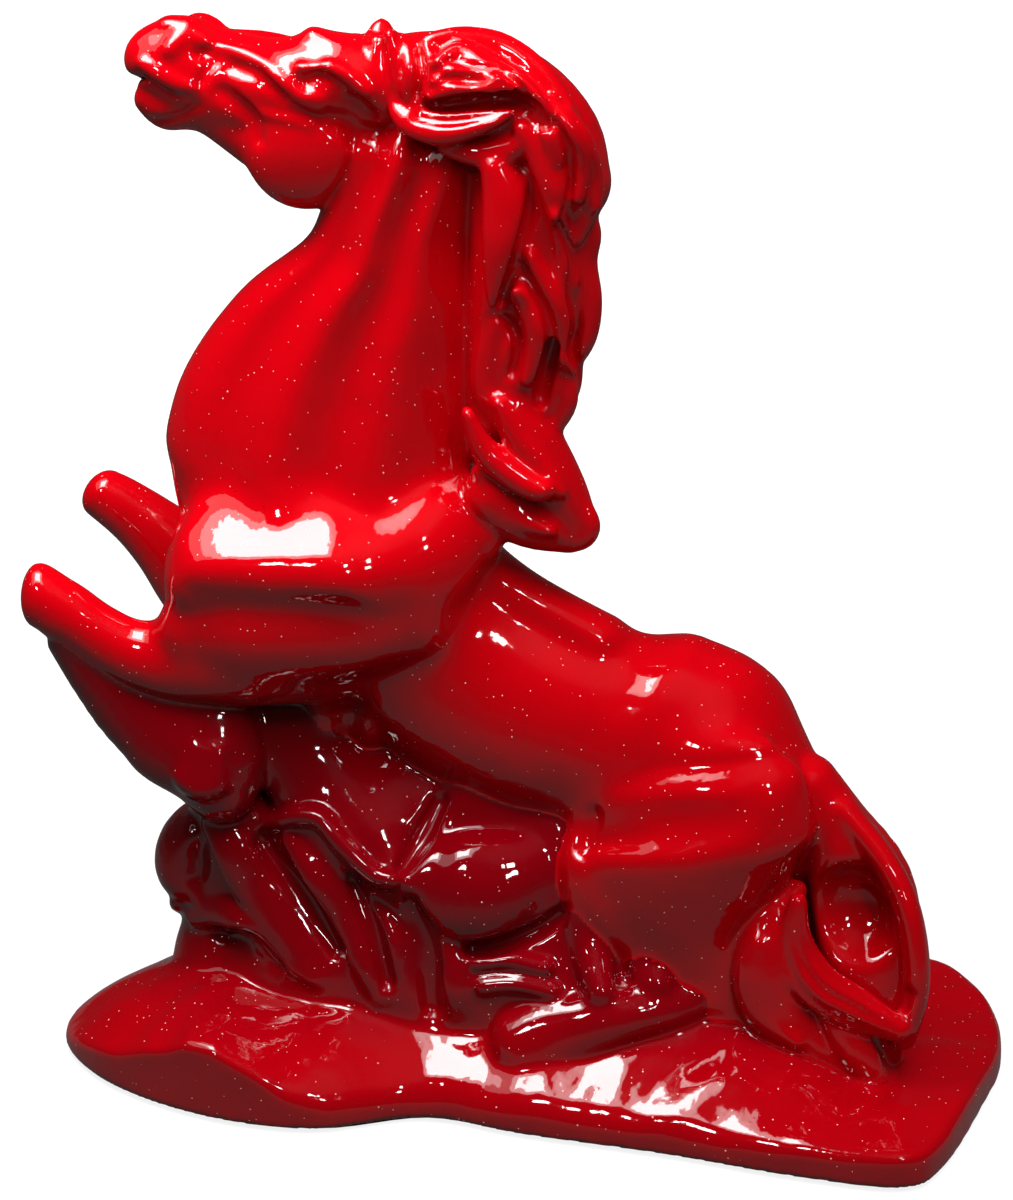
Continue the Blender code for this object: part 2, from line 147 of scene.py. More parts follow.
def flowing(rows: np.ndarray, steps: int) -> np.ndarray:
    """Draws a smooth curve through rows of numbers.

    Each stretch is a Catmull-Rom cubic: half of (2 p1 + (p2 - p0) t + (2 p0 - 5 p1 + 4 p2 - p3) t^2
    + (3 p1 - p0 - 3 p2 + p3) t^3), with the end rows repeated beyond the ends.

    Args:
        rows: One point, with its sizes, a row.
        steps: Points drawn for each stretch.

    Returns:
        The rows of the curve.
    """
    padded = np.vstack([2 * rows[:1] - rows[1:2], rows, 2 * rows[-1:] - rows[-2:-1]])
    share = np.linspace(0, 1, steps, endpoint=False)[None, :, None]
    p0, p1, p2, p3 = (padded[i : len(rows) - 1 + i, None, :] for i in range(4))
    curve = 0.5 * (
        2 * p1
        + (p2 - p0) * share
        + (2 * p0 - 5 * p1 + 4 * p2 - p3) * share**2
        + (3 * p1 - p0 - 3 * p2 + p3) * share**3
    )
    return np.vstack([curve.reshape(-1, rows.shape[1]), rows[-1:]])


def blended(first: np.ndarray, second: np.ndarray, reach: float) -> np.ndarray:
    """Joins two fields with a fillet.

    The result is the smaller of the two, less reach / 6 times the cube of how far their difference falls
    short of reach.

    Args:
        first: A field.
        second: Another field.
        reach: The fillet's size.

    Returns:
        The joined field.
    """
    short = np.maximum(reach - np.abs(first - second), 0) / reach
    return np.minimum(first, second) - short**3 * (reach / 6)


def joined(block: np.ndarray, inner: Window, form: np.ndarray, fillet: float, carve: bool) -> None:
    """Adds a form to a casting's field with a fillet, or carves it out."""
    block[inner] = -blended(-block[inner], form, fillet) if carve else blended(block[inner], form, fillet)


def oval(ratios: list[np.ndarray], halves: list[np.ndarray]) -> np.ndarray:
    """Works out the field of an oval, which is close to the distance from it.

    It is k0 (k0 - 1) / k1, where k0 is the offset from the centre measured in half sizes, and k1 the same
    measured in half sizes squared.

    Args:
        ratios: The offset along each axis, in half sizes.
        halves: The half size along each axis.

    Returns:
        The field.
    """
    k0 = np.sqrt(sum(r**2 for r in ratios)) + SOFT
    k1 = np.sqrt(sum((r / h) ** 2 for r, h in zip(ratios, halves))) + SOFT
    return k0 * (k0 - 1) / k1


def between(values: np.ndarray, points: np.ndarray) -> np.ndarray:
    """Reads a field between grid points, by linear shares along the three axes.

    Args:
        values: The field.
        points: Places in grid units, along the last axis.

    Returns:
        The value at each place.
    """
    base = np.clip(np.floor(points).astype(int), 0, np.array(values.shape) - 2)
    part = np.clip(points - base, 0, 1)
    total = np.zeros(points.shape[:-1])
    for number in range(8):
        shift = np.array([number & 1, number >> 1 & 1, number >> 2 & 1])
        weight = np.prod(np.where(shift, part, 1 - part), axis=-1)
        total += weight * values[tuple(np.moveaxis(base + shift, -1, 0))]
    return total


def counted_from(outer: Window, inner: Window) -> Window:
    """A window's grid points, counted from the corner of another window."""
    return tuple(slice(a.start - b.start, a.stop - b.start) for a, b in zip(inner, outer))


def squared(along: np.ndarray, thickness: np.ndarray) -> tuple[np.ndarray, np.ndarray, np.ndarray]:
    """Unit vectors along a line, across it, and through it near the direction of a thickness."""
    through = thickness - along * float(thickness @ along)
    through /= np.linalg.norm(through) + TINY
    return along, np.cross(through, along), through


@dataclass
class Clay:
    """A block of space on a grid, in which the castings are modelled.

    Attributes:
        low: The block's lowest corner.
        high: Its highest corner.
        pitch: The grid's spacing.
    """

    low: tuple[float, float, float]
    high: tuple[float, float, float]
    pitch: float

    def counts(self) -> tuple[int, int, int]:
        """Grid points along each axis."""
        return tuple(int((b - a) / self.pitch) + 1 for a, b in zip(self.low, self.high))

    def window(self, low: np.ndarray, high: np.ndarray) -> Window:
        """The grid points between two corners."""
        first = np.floor((np.asarray(low) - self.low) / self.pitch).astype(int)
        last = np.ceil((np.asarray(high) - self.low) / self.pitch).astype(int) + 1
        return tuple(slice(max(a, 0), max(min(b, n), 0)) for a, b, n in zip(first, last, self.counts()))

    def within(self, low: np.ndarray, high: np.ndarray, outer: Window) -> Window | None:
        """The grid points between two corners that lie in another window too, or none."""
        pairs = zip(self.window(low, high), outer)
        shared = tuple(slice(max(a.start, b.start), min(a.stop, b.stop)) for a, b in pairs)
        return None if any(s.stop <= s.start for s in shared) else shared

    def ticks(self, window: Window) -> list[np.ndarray]:
        """The x, y and z of a window's grid points, each along its own axis."""
        shapes = ((-1, 1, 1), (1, -1, 1), (1, 1, -1))
        steps = [np.arange(w.start, w.stop, dtype=np.float32) for w in window]
        return [
            (low + self.pitch * step).astype(np.float32).reshape(shape)
            for low, step, shape in zip(self.low, steps, shapes)
        ]

    def offsets(self, window: Window, origin: np.ndarray, axes: tuple[np.ndarray, ...]) -> list[np.ndarray]:
        """Offsets of a window's grid points from an origin, along each of the axes."""
        ticks = [t - np.float32(o) for t, o in zip(self.ticks(window), origin)]
        return [sum(t * np.float32(v) for t, v in zip(ticks, axis)) for axis in axes]

    def surface(self, block: np.ndarray, window: Window, pixels: np.ndarray) -> np.ndarray:
        """Finds where the photograph's rays first meet a casting.

        Each ray is sampled at even steps, and the crossing is placed by the two values round it. A ray that
        misses takes a distance between those of the rays before and after it in the list that don't.

        Args:
            block: The casting's field.
            window: The grid points that it covers.
            pixels: One (across, down) a row.

        Returns:
            One point a row.
        """
        ray = VIEW.rays(pixels[:, 0], pixels[:, 1])
        reach = np.arange(VIEW.distance - RAY_ROOM, VIEW.distance + RAY_ROOM, RAY_STEP)
        points = (VIEW.eye() + ray[:, None, :] * reach[None, :, None] - np.array(self.low)) / self.pitch
        points -= np.array([w.start for w in window])
        known = np.all((points >= 0) & (points < np.array(block.shape) - 1), axis=2)
        value = np.where(known, between(block, points), FAR)
        inside = value < 0
        first = np.maximum(inside.argmax(axis=1), 1)
        rows = np.arange(len(pixels))
        before, after = value[rows, first - 1], value[rows, first]
        found = reach[first - 1] + RAY_STEP * np.clip(before / (before - after + TINY), 0, 1)
        met = inside.any(axis=1)
        if met.any():
            found = np.interp(rows, rows[met], found[met])
        else:
            found = np.full(len(pixels), VIEW.distance)
        return VIEW.eye() + ray * found[:, None]


def stroke(
    path: Rows,
    depth: Reals,
    breadth: Reals,
    thickness: Reals,
    fillet: float = 1.2,
    drape: bool = True,
    carve: bool = False,
    ridges: float = 0.0,
    relief: float = 0.0,
) -> "Sweep":
    """Draws a sweep along pixels of the photograph.

    Args:
        path: (across, down) pixels.
        depth: One depth, or several that are spread evenly along the path.
        breadth: One half breadth, or several.
        thickness: One half thickness, or several.
        fillet: How softly it joins what is there.
        drape: Whether it lies on the surface that is there.
        carve: Whether it is carved.
        ridges: Ridges across it.
        relief: Height of the ridges.

    Returns:
        The sweep.
    """
    share = np.linspace(0, 1, len(path))
    spread = [np.atleast_1d(values) for values in (depth, breadth, thickness)]
    sizes = [np.interp(share, np.linspace(0, 1, len(values)), values) for values in spread]
    rows = [(*place, *row) for place, row in zip(path, zip(*sizes))]
    return Sweep(rows, fillet=fillet, carve=carve, ridges=ridges, relief=relief, drape=drape)


def groove(path: Rows, depth: Reals, breadth: Reals, thickness: Reals, fillet: float) -> "Sweep":
    """A stroke that is carved into the surface that is there."""
    return stroke(path, depth, breadth, thickness, fillet, carve=True)


def lock(
    path: Rows,
    depth: Reals,
    breadth: Reals,
    thickness: Reals,
    fillet: float,
    ridges: float = 0.0,
    relief: float = 0.0,
) -> "Sweep":
    """A stroke whose depths are counted from the middle of the horse, as a lock of hair or a boulder."""
    return stroke(path, depth, breadth, thickness, fillet, drape=False, ridges=ridges, relief=relief)


@dataclass
class Sweep:
    """An oval section carried along a smooth path.

    Attributes:
        rows: Stations of (across, down, depth, half breadth, half thickness) in the photograph, or of
            (x, y, z, half breadth, half thickness) in the object's frame.
        plane: Which of the two the rows are.
        fillet: How softly it joins what is there already.
        carve: Whether it is taken away rather than added.
        ridges: Ridges across the section, which run along it.
        relief: Height of the ridges.
        phase: Place of a hollow between the ridges of a stacked sweep, as a share of its half breadth.
        cap: Length of the rounded ends, as a share of the smaller half size.
        steps: Points drawn between two stations.
        drape: Whether the depths are counted from the surface that the photograph shows there, away from
            the camera, rather than from the middle of the horse.
        stacked: Whether the sections are stacked square to the straight line between the path's ends, which
            keeps a thick form free of creases.
    """

    rows: Rows
    plane: Plane = Plane.PHOTO
    fillet: float = 2.0
    carve: bool = False
    ridges: float = 0.0
    relief: float = 0.0
    phase: float = 0.0
    cap: float = 1.0
    steps: int = 4
    drape: bool = False
    stacked: bool = False

    def margin(self) -> float:
        """How far beyond the section its field is worked out."""
        return max(self.fillet + 1.0, 3.5)

    def stations(
        self, flip: bool, ground: np.ndarray | None = None
    ) -> tuple[np.ndarray, np.ndarray, np.ndarray]:
        """Works out the drawn path.

        Args:
            flip: Whether the path is mirrored to the horse's off side.
            ground: For a draped sweep, the surface's point for each row.

        Returns:
            The centres, the half sizes, and the direction of the section's thickness.
        """
        table = np.array(self.rows, dtype=float)
        thickness = np.array([0.0, 1.0, 0.0])
        if self.plane is Plane.PHOTO:
            thickness = VIEW.axes()[2]
            if ground is None:
                ground = VIEW.place(table[:, 0], table[:, 1], table[:, 2])
            else:
                ground = ground - table[:, 2:3] * thickness
            table = np.column_stack([ground, table[:, 3:]])
        if flip:
            table[:, 1] *= -1
            thickness = thickness * np.array([1.0, -1.0, 1.0])
        drawn = flowing(table, self.steps)
        return drawn[:, :3], np.maximum(drawn[:, 3:5], 0.15), thickness

    def reach(self, flip: bool) -> tuple[np.ndarray, np.ndarray]:
        """Finds the room that the sweep's field needs. One that lies on others or is carved needs none.

        Args:
            flip: Whether the path is mirrored to the horse's off side.

        Returns:
            The lowest and highest corners.
        """
        if self.drape or self.carve:
            return np.full(3, np.inf), np.full(3, -np.inf)
        centres, sizes, _ = self.stations(flip)
        room = sizes.max() + self.margin()
        return centres.min(axis=0) - room, centres.max(axis=0) + room

    def put_into(self, clay: Clay, block: np.ndarray, window: Window, flip: bool = False) -> None:
        """Adds the sweep to a casting's field, or carves it out.

        The field of one short stretch is an oval's, measured from the nearest point of the path. The
        stretches are joined by the smaller value.

        Args:
            clay: The grid.
            block: The casting's field, which is changed.
            window: The grid points that it covers.
            flip: Whether to mirror the sweep to the off side.
        """
        ground = None
        if self.drape:
            ground = clay.surface(block, window, np.array(self.rows, dtype=float)[:, :2])
        centres, sizes, thickness = self.stations(flip, ground)
        room = sizes.max() + self.margin()
        local = clay.within(centres.min(axis=0) - room, centres.max(axis=0) + room, window)
        if local is None:
            return
        swept = np.full([w.stop - w.start for w in local], FAR, dtype=np.float32)
        if self.stacked:
            self.stack(clay, swept, local, (centres, sizes, thickness))
            centres = centres[:1]
        for ends in zip(zip(centres[:-1], centres[1:]), zip(sizes[:-1], sizes[1:])):
            self.stretch(clay, swept, local, *ends, thickness)
        joined(block, counted_from(window, local), swept, self.fillet, self.carve)

    def stack(
        self,
        clay: Clay,
        swept: np.ndarray,
        window: Window,
        path: tuple[np.ndarray, np.ndarray, np.ndarray],
    ) -> None:
        """Fills the sweep's field in one go, with sections square to the line between the path's ends.

        A grid point's place along the line picks the section's centre and half sizes, by straight shares of
        the drawn path, and the field is the oval's of its offsets. A section where the path leans from the
        line is made wider by the lean. The ridges are a cosine across the section, which fades to its edges.

        Args:
            clay: The grid.
            swept: The sweep's field, which is changed.
            window: The grid points that the field covers.
            path: The drawn centres, the half sizes and the direction of the thickness.
        """
        centres, sizes, thickness = path
        along = centres[-1] - centres[0]
        axes = squared(along / np.linalg.norm(along), thickness)
        places, shift, depth = ((centres - centres[0]) @ axis for axis in axes)
        steady = np.maximum.accumulate(places + 1e-4 * np.arange(len(places)))
        lean = np.hypot(1.0, np.gradient(shift, steady))
        dots = clay.offsets(window, centres[0], axes)
        held = np.clip(dots[0], steady[0], steady[-1])
        half_a, half_b, centre, back = (
            np.interp(held, steady, values).astype(np.float32)
            for values in (sizes[:, 0] * lean, sizes[:, 1], shift, depth)
        )
        cap = np.minimum(half_a, half_b) * np.float32(self.cap)
        ratios = [(dots[1] - centre) / half_a, (dots[2] - back) / half_b, (dots[0] - held) / cap]
        fade = np.float32(self.relief) * np.maximum(1 - ratios[0] ** 2, 0)
        wave = np.cos((ratios[0] - np.float32(self.phase)) * np.float32(math.pi * self.ridges))
        swept[:] = oval(ratios, [half_a, half_b, cap]) + fade * wave

    def stretch(
        self,
        clay: Clay,
        swept: np.ndarray,
        window: Window,
        ends: tuple[np.ndarray, np.ndarray],
        sizes: tuple[np.ndarray, np.ndarray],
        thickness: np.ndarray,
    ) -> None:
        """Puts one straight stretch of the path into the sweep's field.

        Args:
            clay: The grid.
            swept: The sweep's field, which is changed.
            window: The grid points that the field covers.
            ends: The two ends of the stretch.
            sizes: The half breadth and half thickness at the two ends.
            thickness: The direction of the section's thickness.
        """
        begin, end = ends
        length = float(np.linalg.norm(end - begin)) + 1e-6
        axes = squared((end - begin) / length, thickness)
        reach = max(sizes[0].max(), sizes[1].max()) + self.margin()
        local = clay.within(np.minimum(begin, end) - reach, np.maximum(begin, end) + reach, window)
        if local is None:
            return
        dots = clay.offsets(local, begin, axes)
        share = np.clip(dots[0] / np.float32(length), 0, 1)
        half_a, half_b = (np.float32(a) + share * np.float32(b - a) for a, b in zip(*sizes))
        cap = np.minimum(half_a, half_b) * np.float32(self.cap)
        ratios = [dots[1] / half_a, dots[2] / half_b, (dots[0] - share * np.float32(length)) / cap]
        distance = oval(ratios, [half_a, half_b, cap])
        if self.ridges:
            distance += np.float32(self.relief) * np.cos(ratios[0] * np.float32(math.pi * self.ridges))
        inner = counted_from(window, local)
        swept[inner] = np.minimum(swept[inner], distance)


@dataclass
class Crag:
    """A lump of rock: an oval cut by flat faces, with soft edges.

    Attributes:
        centre: (across, down, depth) in the photograph.
        half: Half sizes along x, y and z.
        faces: Flat faces as (azimuth, elevation, share of the half size at which the face cuts).
        fillet: How softly it joins what is there already.
        soft: Size of the rounding between its faces.
        carve: Whether it is taken away rather than added.
    """

    centre: tuple[float, float, float]
    half: tuple[float, float, float]
    faces: Rows = field(default_factory=list)
    fillet: float = 2.0
    soft: float = 1.6
    carve: bool = False

    def middle(self, flip: bool) -> np.ndarray:
        """The lump's centre in the object's frame."""
        place = VIEW.place(*(np.array([c], dtype=float) for c in self.centre))[0]
        return place * np.array([1.0, -1.0, 1.0]) if flip else place

    def reach(self, flip: bool) -> tuple[np.ndarray, np.ndarray]:
        """The lowest and highest corners that the lump's field needs."""
        if self.carve:
            return np.full(3, np.inf), np.full(3, -np.inf)
        return self.corners(self.middle(flip))

    def corners(self, middle: np.ndarray) -> tuple[np.ndarray, np.ndarray]:
        """The corners between which the lump's field is worked out."""
        room = np.array(self.half) + self.fillet + 2.5
        return middle - room, middle + room

    def put_into(self, clay: Clay, block: np.ndarray, window: Window, flip: bool = False) -> None:
        """Adds the lump to a casting's field: the larger of an oval's field and each face's height, softened.

        Args:
            clay: The grid.
            block: The casting's field, which is changed.
            window: The grid points that it covers.
            flip: Whether to mirror the lump to the off side.
        """
        middle, half = self.middle(flip), np.array(self.half)
        local = clay.within(*self.corners(middle), window)
        if local is None:
            return
        side = -1.0 if flip else 1.0
        offset = [t - np.float32(m) for t, m in zip(clay.ticks(local), middle)]
        lump = oval([o / np.float32(h) for o, h in zip(offset, half)], half.astype(np.float32))
        for azimuth, elevation, share in self.faces:
            turn, rise = math.radians(azimuth), math.radians(elevation)
            normal = np.array(
                [math.cos(turn) * math.cos(rise), side * math.sin(turn) * math.cos(rise), math.sin(rise)]
            )
            reach = share * float(np.linalg.norm(normal * half))
            height = sum(o * np.float32(n) for o, n in zip(offset, normal)) - np.float32(reach)
            lump = -blended(-lump, -height, self.soft)
        joined(block, counted_from(window, local), lump, self.fillet, self.carve)


@dataclass
class Outline:
    """The base's outline, seen from above.

    Attributes:
        length: Length along x.
        depth: Depth along y.
        shares: Points as shares of half the length and half the depth, from the left tip round the front.
    """

    length: float = 182.0
    depth: float = 95.0
    shares: tuple[tuple[float, float], ...] = (
        (-0.98, -0.26), (-0.86, -0.66), (-0.62, -0.92), (-0.36, -0.97), (-0.14, -0.77), (0.08, -0.84),
        (0.38, -0.90), (0.66, -0.99), (0.88, -1.00), (0.95, -0.78), (0.99, -0.20), (1.00, 0.20), (0.94, 0.62),
        (0.78, 0.97), (0.45, 0.95), (0.10, 0.86), (-0.28, 0.84), (-0.62, 0.64), (-0.88, 0.22),
    )

    def ring(self, inset: float, steps: int = 6) -> np.ndarray:
        """Draws the outline as a closed smooth curve.

        Args:
            inset: How far it is drawn in.
            steps: Points drawn for each stretch.

        Returns:
            One (x, y) a row, without repeating the first.
        """
        half = np.array([self.length / 2 - inset, self.depth / 2 - inset])
        points = np.array(self.shares) * half
        count = len(points)
        looped = flowing(np.vstack([points[-3:], points, points[:4]]), steps)
        return looped[3 * steps : (3 + count) * steps]

    def away(self, x: np.ndarray, y: np.ndarray) -> np.ndarray:
        """Measures how far grid points lie outside the outline.

        The size is the least distance to any edge, and the sign comes from counting the edges that a ray
        along x crosses.

        Args:
            x: The grid's x, along the first axis.
            y: The grid's y, along the second axis.

        Returns:
            Distances, negative inside.
        """
        ring = self.ring(0.0)
        least = np.full((x.size, y.size), 1e9)
        inside = np.zeros((x.size, y.size), dtype=bool)
        px, py = x.reshape(-1, 1), y.reshape(1, -1)
        for (ax, ay), (bx, by) in zip(ring, np.roll(ring, -1, axis=0)):
            ex, ey = bx - ax, by - ay
            share = np.clip(((px - ax) * ex + (py - ay) * ey) / (ex * ex + ey * ey), 0, 1)
            least = np.minimum(least, (px - ax - share * ex) ** 2 + (py - ay - share * ey) ** 2)
            if ey:
                inside ^= ((ay > py) != (by > py)) & (px < ax + (py - ay) / ey * ex)
        return np.where(inside, -1.0, 1.0) * np.sqrt(least)


@dataclass
class Slab:
    """The base's slab: a poured apron that climbs from a low rim to the foot of the rocks.

    Attributes:
        outline: Its outline.
        bottom: Height of its underside.
        lip: How far the rim hangs below the underside, outside the felt.
        rim: Stations of (x, height of the rim, climb of the apron, rounding of the rim), along the front.
        swell: Height of the ripples.
        climb: How far in from the rim the apron stops climbing.
        height: How far the apron's highest point can stand above the slab's level top.
        fillet: How softly it joins the rocks.
    """

    outline: Outline
    bottom: float = 1.3
    lip: float = 0.7
    rim: tuple[tuple[float, float, float, float], ...] = (
        (-91, 2.2, 0.6, 0.8), (-85, 4.5, 0.6, 0.8), (-78, 7.2, 0.5, 0.8), (-68, 10.8, 0.4, 0.8),
        (-57, 15.0, 0.25, 0.9), (-51, 15.2, 0.2, 1.0), (-44, 12.0, 0.3, 1.2), (-37, 8.0, 0.55, 1.8),
        (-29, 6.0, 0.8, 2.4), (-12, 5.5, 0.85, 2.4), (20, 6.0, 0.78, 2.4), (45, 6.5, 0.7, 2.4),
        (56, 7.0, 0.45, 2.4), (66, 7.5, 0.12, 2.2), (91, 8.3, 0.03, 2.2),
    )
    swell: float = 0.3
    climb: float = 20.0
    height: float = 16.0
    fillet: float = 2.0

    def reach(self, flip: bool) -> tuple[np.ndarray, np.ndarray]:
        """The lowest and highest corners that the slab's field needs."""
        half = np.array([self.outline.length, self.outline.depth]) / 2 + MARGIN
        top = SLAB_TOP + self.height + MARGIN
        return np.array([*-half, self.bottom - MARGIN]), np.array([*half, top])

    def ripples(self, x: np.ndarray, y: np.ndarray) -> np.ndarray:
        """Works out the height of the ripples.

        They are sine waves across the slab, each bent by another. Finer ones take over on the wet patch in
        front of the rocks.

        Args:
            x: The grid's x.
            y: The grid's y.

        Returns:
            The heights.
        """
        bend = np.sin(0.11 * x + 0.6 * np.sin(0.13 * y))
        broad = bend + np.sin(0.19 * y + 1.4 * bend + 0.7) + 0.6 * np.sin(0.31 * x - 0.27 * y + 1.8 * bend)
        fine = np.sin(0.34 * x + 1.7 * np.sin(0.23 * y + bend)) + np.sin(0.37 * y - 0.21 * x + 1.6 * bend)
        wet = np.exp(-(((x - 12) / 46) ** 4) - ((y + 34) / 16) ** 4)
        crisp = np.sin(0.83 * x + 2.1 * np.sin(0.47 * y + fine)) * np.sin(0.71 * y + 1.5 * np.sin(0.52 * x))
        return self.swell * ((1 - 0.5 * wet) * broad + wet * (0.6 * fine + 0.28 * crisp))

    def put_into(self, clay: Clay, block: np.ndarray, window: Window, flip: bool = False) -> None:
        """Adds the slab.

        The height of its top is the rim's height plus the apron's climb times the distance in from the
        outline, which levels off, plus the ripples. Its rim is rounded where side and top meet.

        Args:
            clay: The grid.
            block: The casting's field, which is changed.
            window: The grid points that it covers.
            flip: Not used, because the slab isn't mirrored.
        """
        local = clay.within(*self.reach(flip), window)
        inner = counted_from(window, local)
        x, y, z = clay.ticks(local)
        away = self.outline.away(x, y)[:, :, None].astype(np.float32)
        stations = np.array(self.rim, dtype=float)
        near = np.clip(0.5 - y / 20, 0, 1)
        rim, slope, edge = (np.interp(x, stations[:, 0], stations[:, i]) for i in (1, 2, 3))
        rim = near * rim + (1 - near) * np.minimum(7.0, 0.25 * (x + 100))
        inward = self.climb * np.tanh(np.maximum(-away, 0) / self.climb)
        top = (rim + slope * inward + self.ripples(x, y)).astype(np.float32)
        edge = np.minimum(edge, 0.6 * (top - self.bottom)).astype(np.float32)
        side = away + edge
        rise = (z - top + edge) / np.sqrt(1 + slope**2).astype(np.float32)
        plate = np.minimum(np.maximum(side, rise), 0)
        plate = plate + np.hypot(np.maximum(side, 0), np.maximum(rise, 0)) - edge
        under = np.float32(self.bottom) - np.float32(self.lip) * np.clip(1 + away / 2.5, 0, 1) - z
        block[inner] = np.maximum(blended(block[inner], plate, self.fillet), under)


@dataclass
class Casting:
    """One casting of the figurine: the forms that it is modelled from.

    Attributes:
        node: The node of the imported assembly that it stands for.
        forms: The forms, in the order in which they are added or carved.
        paired: Forms that come on both sides of the horse, added after the others.
        weld: The fillet with which the lacquer joins it to the castings before it.
    """

    node: str
    forms: list[Sweep | Crag | Slab]
    paired: list[Sweep | Crag] = field(default_factory=list)
    weld: float = 2.0

    def model(self, clay: Clay) -> tuple[Window, np.ndarray]:
        """Models the casting.

        Args:
            clay: The grid.

        Returns:
            The window of grid points that it takes up, and its field there.
        """
        jobs = [(form, False) for form in self.forms]
        jobs += [(form, flip) for form in self.paired for flip in (False, True)]
        corners = [form.reach(flip) for form, flip in jobs]
        window = clay.window(
            np.min([low for low, _ in corners], axis=0), np.max([high for _, high in corners], axis=0)
        )
        block = np.full([w.stop - w.start for w in window], FAR, dtype=np.float32)
        for form, flip in jobs:
            form.put_into(clay, block, window, flip)
        return window, block


def softened(values: np.ndarray, passes: int) -> np.ndarray:
    """Blurs a field along each axis with weights of a quarter, a half and a quarter, a few times over."""
    for _ in range(passes):
        for axis in range(3):
            ahead, behind = np.roll(values, -1, axis), np.roll(values, 1, axis)
            values = np.float32(0.25) * (ahead + behind) + np.float32(0.5) * values
    return values


class Skin:
    """The surface of fused clay, split into one closed mesh for each casting.

    A cell of eight grid points whose owners differ gets one vertex, at the mean of the places where its
    edges cross from one owner to another. A grid edge between two owners gets one four-sided face through
    the four cells round it. Vertices on the outside are then moved along the field's slope on to its zero.
    """

    def __init__(self, clay: Clay, solid: np.ndarray, owner: np.ndarray, rival: np.ndarray) -> None:
        """Skins the clay.

        Args:
            clay: The grid.
            solid: The fused field.
            owner: The number of the casting that owns each grid point, or 0 outside.
            rival: How much further the next casting is than the owner, at each grid point.
        """
        self.clay = clay
        self.solid = solid
        self.points, outer, ids = self.vertices(owner, rival)
        self.faces, self.front, self.behind = self.quads(owner, ids)
        self.settle(outer)
        self.normals = self.slope(self.points)
        self.normals /= np.linalg.norm(self.normals, axis=1, keepdims=True) + 1e-9

    def vertices(self, owner: np.ndarray, rival: np.ndarray) -> tuple[np.ndarray, np.ndarray, np.ndarray]:
        """Places one vertex in each cell that a surface passes.

        Args:
            owner: The owner of each grid point.
            rival: The lead of the owner over the next casting.

        Returns:
            The vertices in grid units, which of them lie on the outside, and each cell's vertex number.
        """
        low = owner[:-1, :-1, :-1]
        mixed = np.zeros(low.shape, dtype=bool)
        for shift in range(1, 8):
            dx, dy, dz = shift & 1, shift >> 1 & 1, shift >> 2 & 1
            mixed |= owner[dx : dx + low.shape[0], dy : dy + low.shape[1], dz : dz + low.shape[2]] != low
        cells = np.argwhere(mixed)
        ids = np.full(mixed.shape, -1, dtype=np.int32)
        ids[mixed] = np.arange(len(cells), dtype=np.int32)
        total = np.zeros((len(cells), 3))
        count = np.zeros(len(cells))
        outer = np.zeros(len(cells), dtype=bool)
        for axis in range(3):
            step = np.eye(3, dtype=int)[axis]
            for corner in range(4):
                shift = np.insert([corner & 1, corner >> 1], axis, 0)
                first, second = cells + shift, cells + shift + step
                at_first, at_second = tuple(first.T), tuple(second.T)
                own_a, own_b = owner[at_first], owner[at_second]
                skin = (own_a == 0) != (own_b == 0)
                crossed = own_a != own_b
                size_a = np.where(skin, np.abs(self.solid[at_first]), rival[at_first])
                size_b = np.where(skin, np.abs(self.solid[at_second]), rival[at_second])
                share = size_a / (size_a + size_b + 1e-9)
                place = first + share[:, None] * step
                total += place * crossed[:, None]
                count += crossed
                outer |= skin
        return total / count[:, None], outer, ids

    def quads(self, owner: np.ndarray, ids: np.ndarray) -> tuple[np.ndarray, np.ndarray, np.ndarray]:
        """Makes the faces.

        Args:
            owner: The owner of each grid point.
            ids: Each cell's vertex number.

        Returns:
            The faces, and the owners on their back and front sides.
        """
        faces, backs, fronts = [], [], []
        for axis in range(3):
            one, two = [a for a in range(3) if a != axis]
            step, side, rise = (np.eye(3, dtype=int)[a] for a in (axis, one, two))
            size = np.array(owner.shape)
            ahead = tuple(slice(s, size[a] - 1 + s if a == axis else size[a]) for a, s in enumerate(step))
            here = tuple(slice(0, size[a] - s) for a, s in enumerate(step))
            edges = np.argwhere(owner[here] != owner[ahead])
            edges = edges[np.all((edges > 0) | (step > 0), axis=1)]
            edges = edges[np.all(edges < size - 1, axis=1)]
            ring = [edges - side - rise, edges - rise, edges, edges - side]
            quad = np.stack([ids[tuple(cell.T)] for cell in ring], axis=1)
            if axis == 1:
                quad = quad[:, ::-1]
            faces.append(quad)
            backs.append(owner[tuple(edges.T)])
            fronts.append(owner[tuple((edges + step).T)])
        return np.vstack(faces), np.concatenate(backs), np.concatenate(fronts)

    def sample(self, points: np.ndarray) -> np.ndarray:
        """The fused field at places in grid units."""
        return between(self.solid, points)

    def slope(self, points: np.ndarray) -> np.ndarray:
        """The fused field's rise along each axis, from points half a grid step either way."""
        half = 0.5 * np.eye(3)
        return np.stack([self.sample(points + h) - self.sample(points - h) for h in half], axis=1)

    def settle(self, outer: np.ndarray) -> None:
        """Moves the outer vertices on to the zero of the field, in three steps along its slope."""
        for _ in range(3):
            points = self.points[outer]
            slope = self.slope(points)
            size = np.sum(slope**2, axis=1) + 1e-6
            move = (self.sample(points) / size)[:, None] * slope
            limit = np.minimum(1, 0.5 / (np.linalg.norm(move, axis=1) + 1e-9))
            self.points[outer] = points - move * limit[:, None]

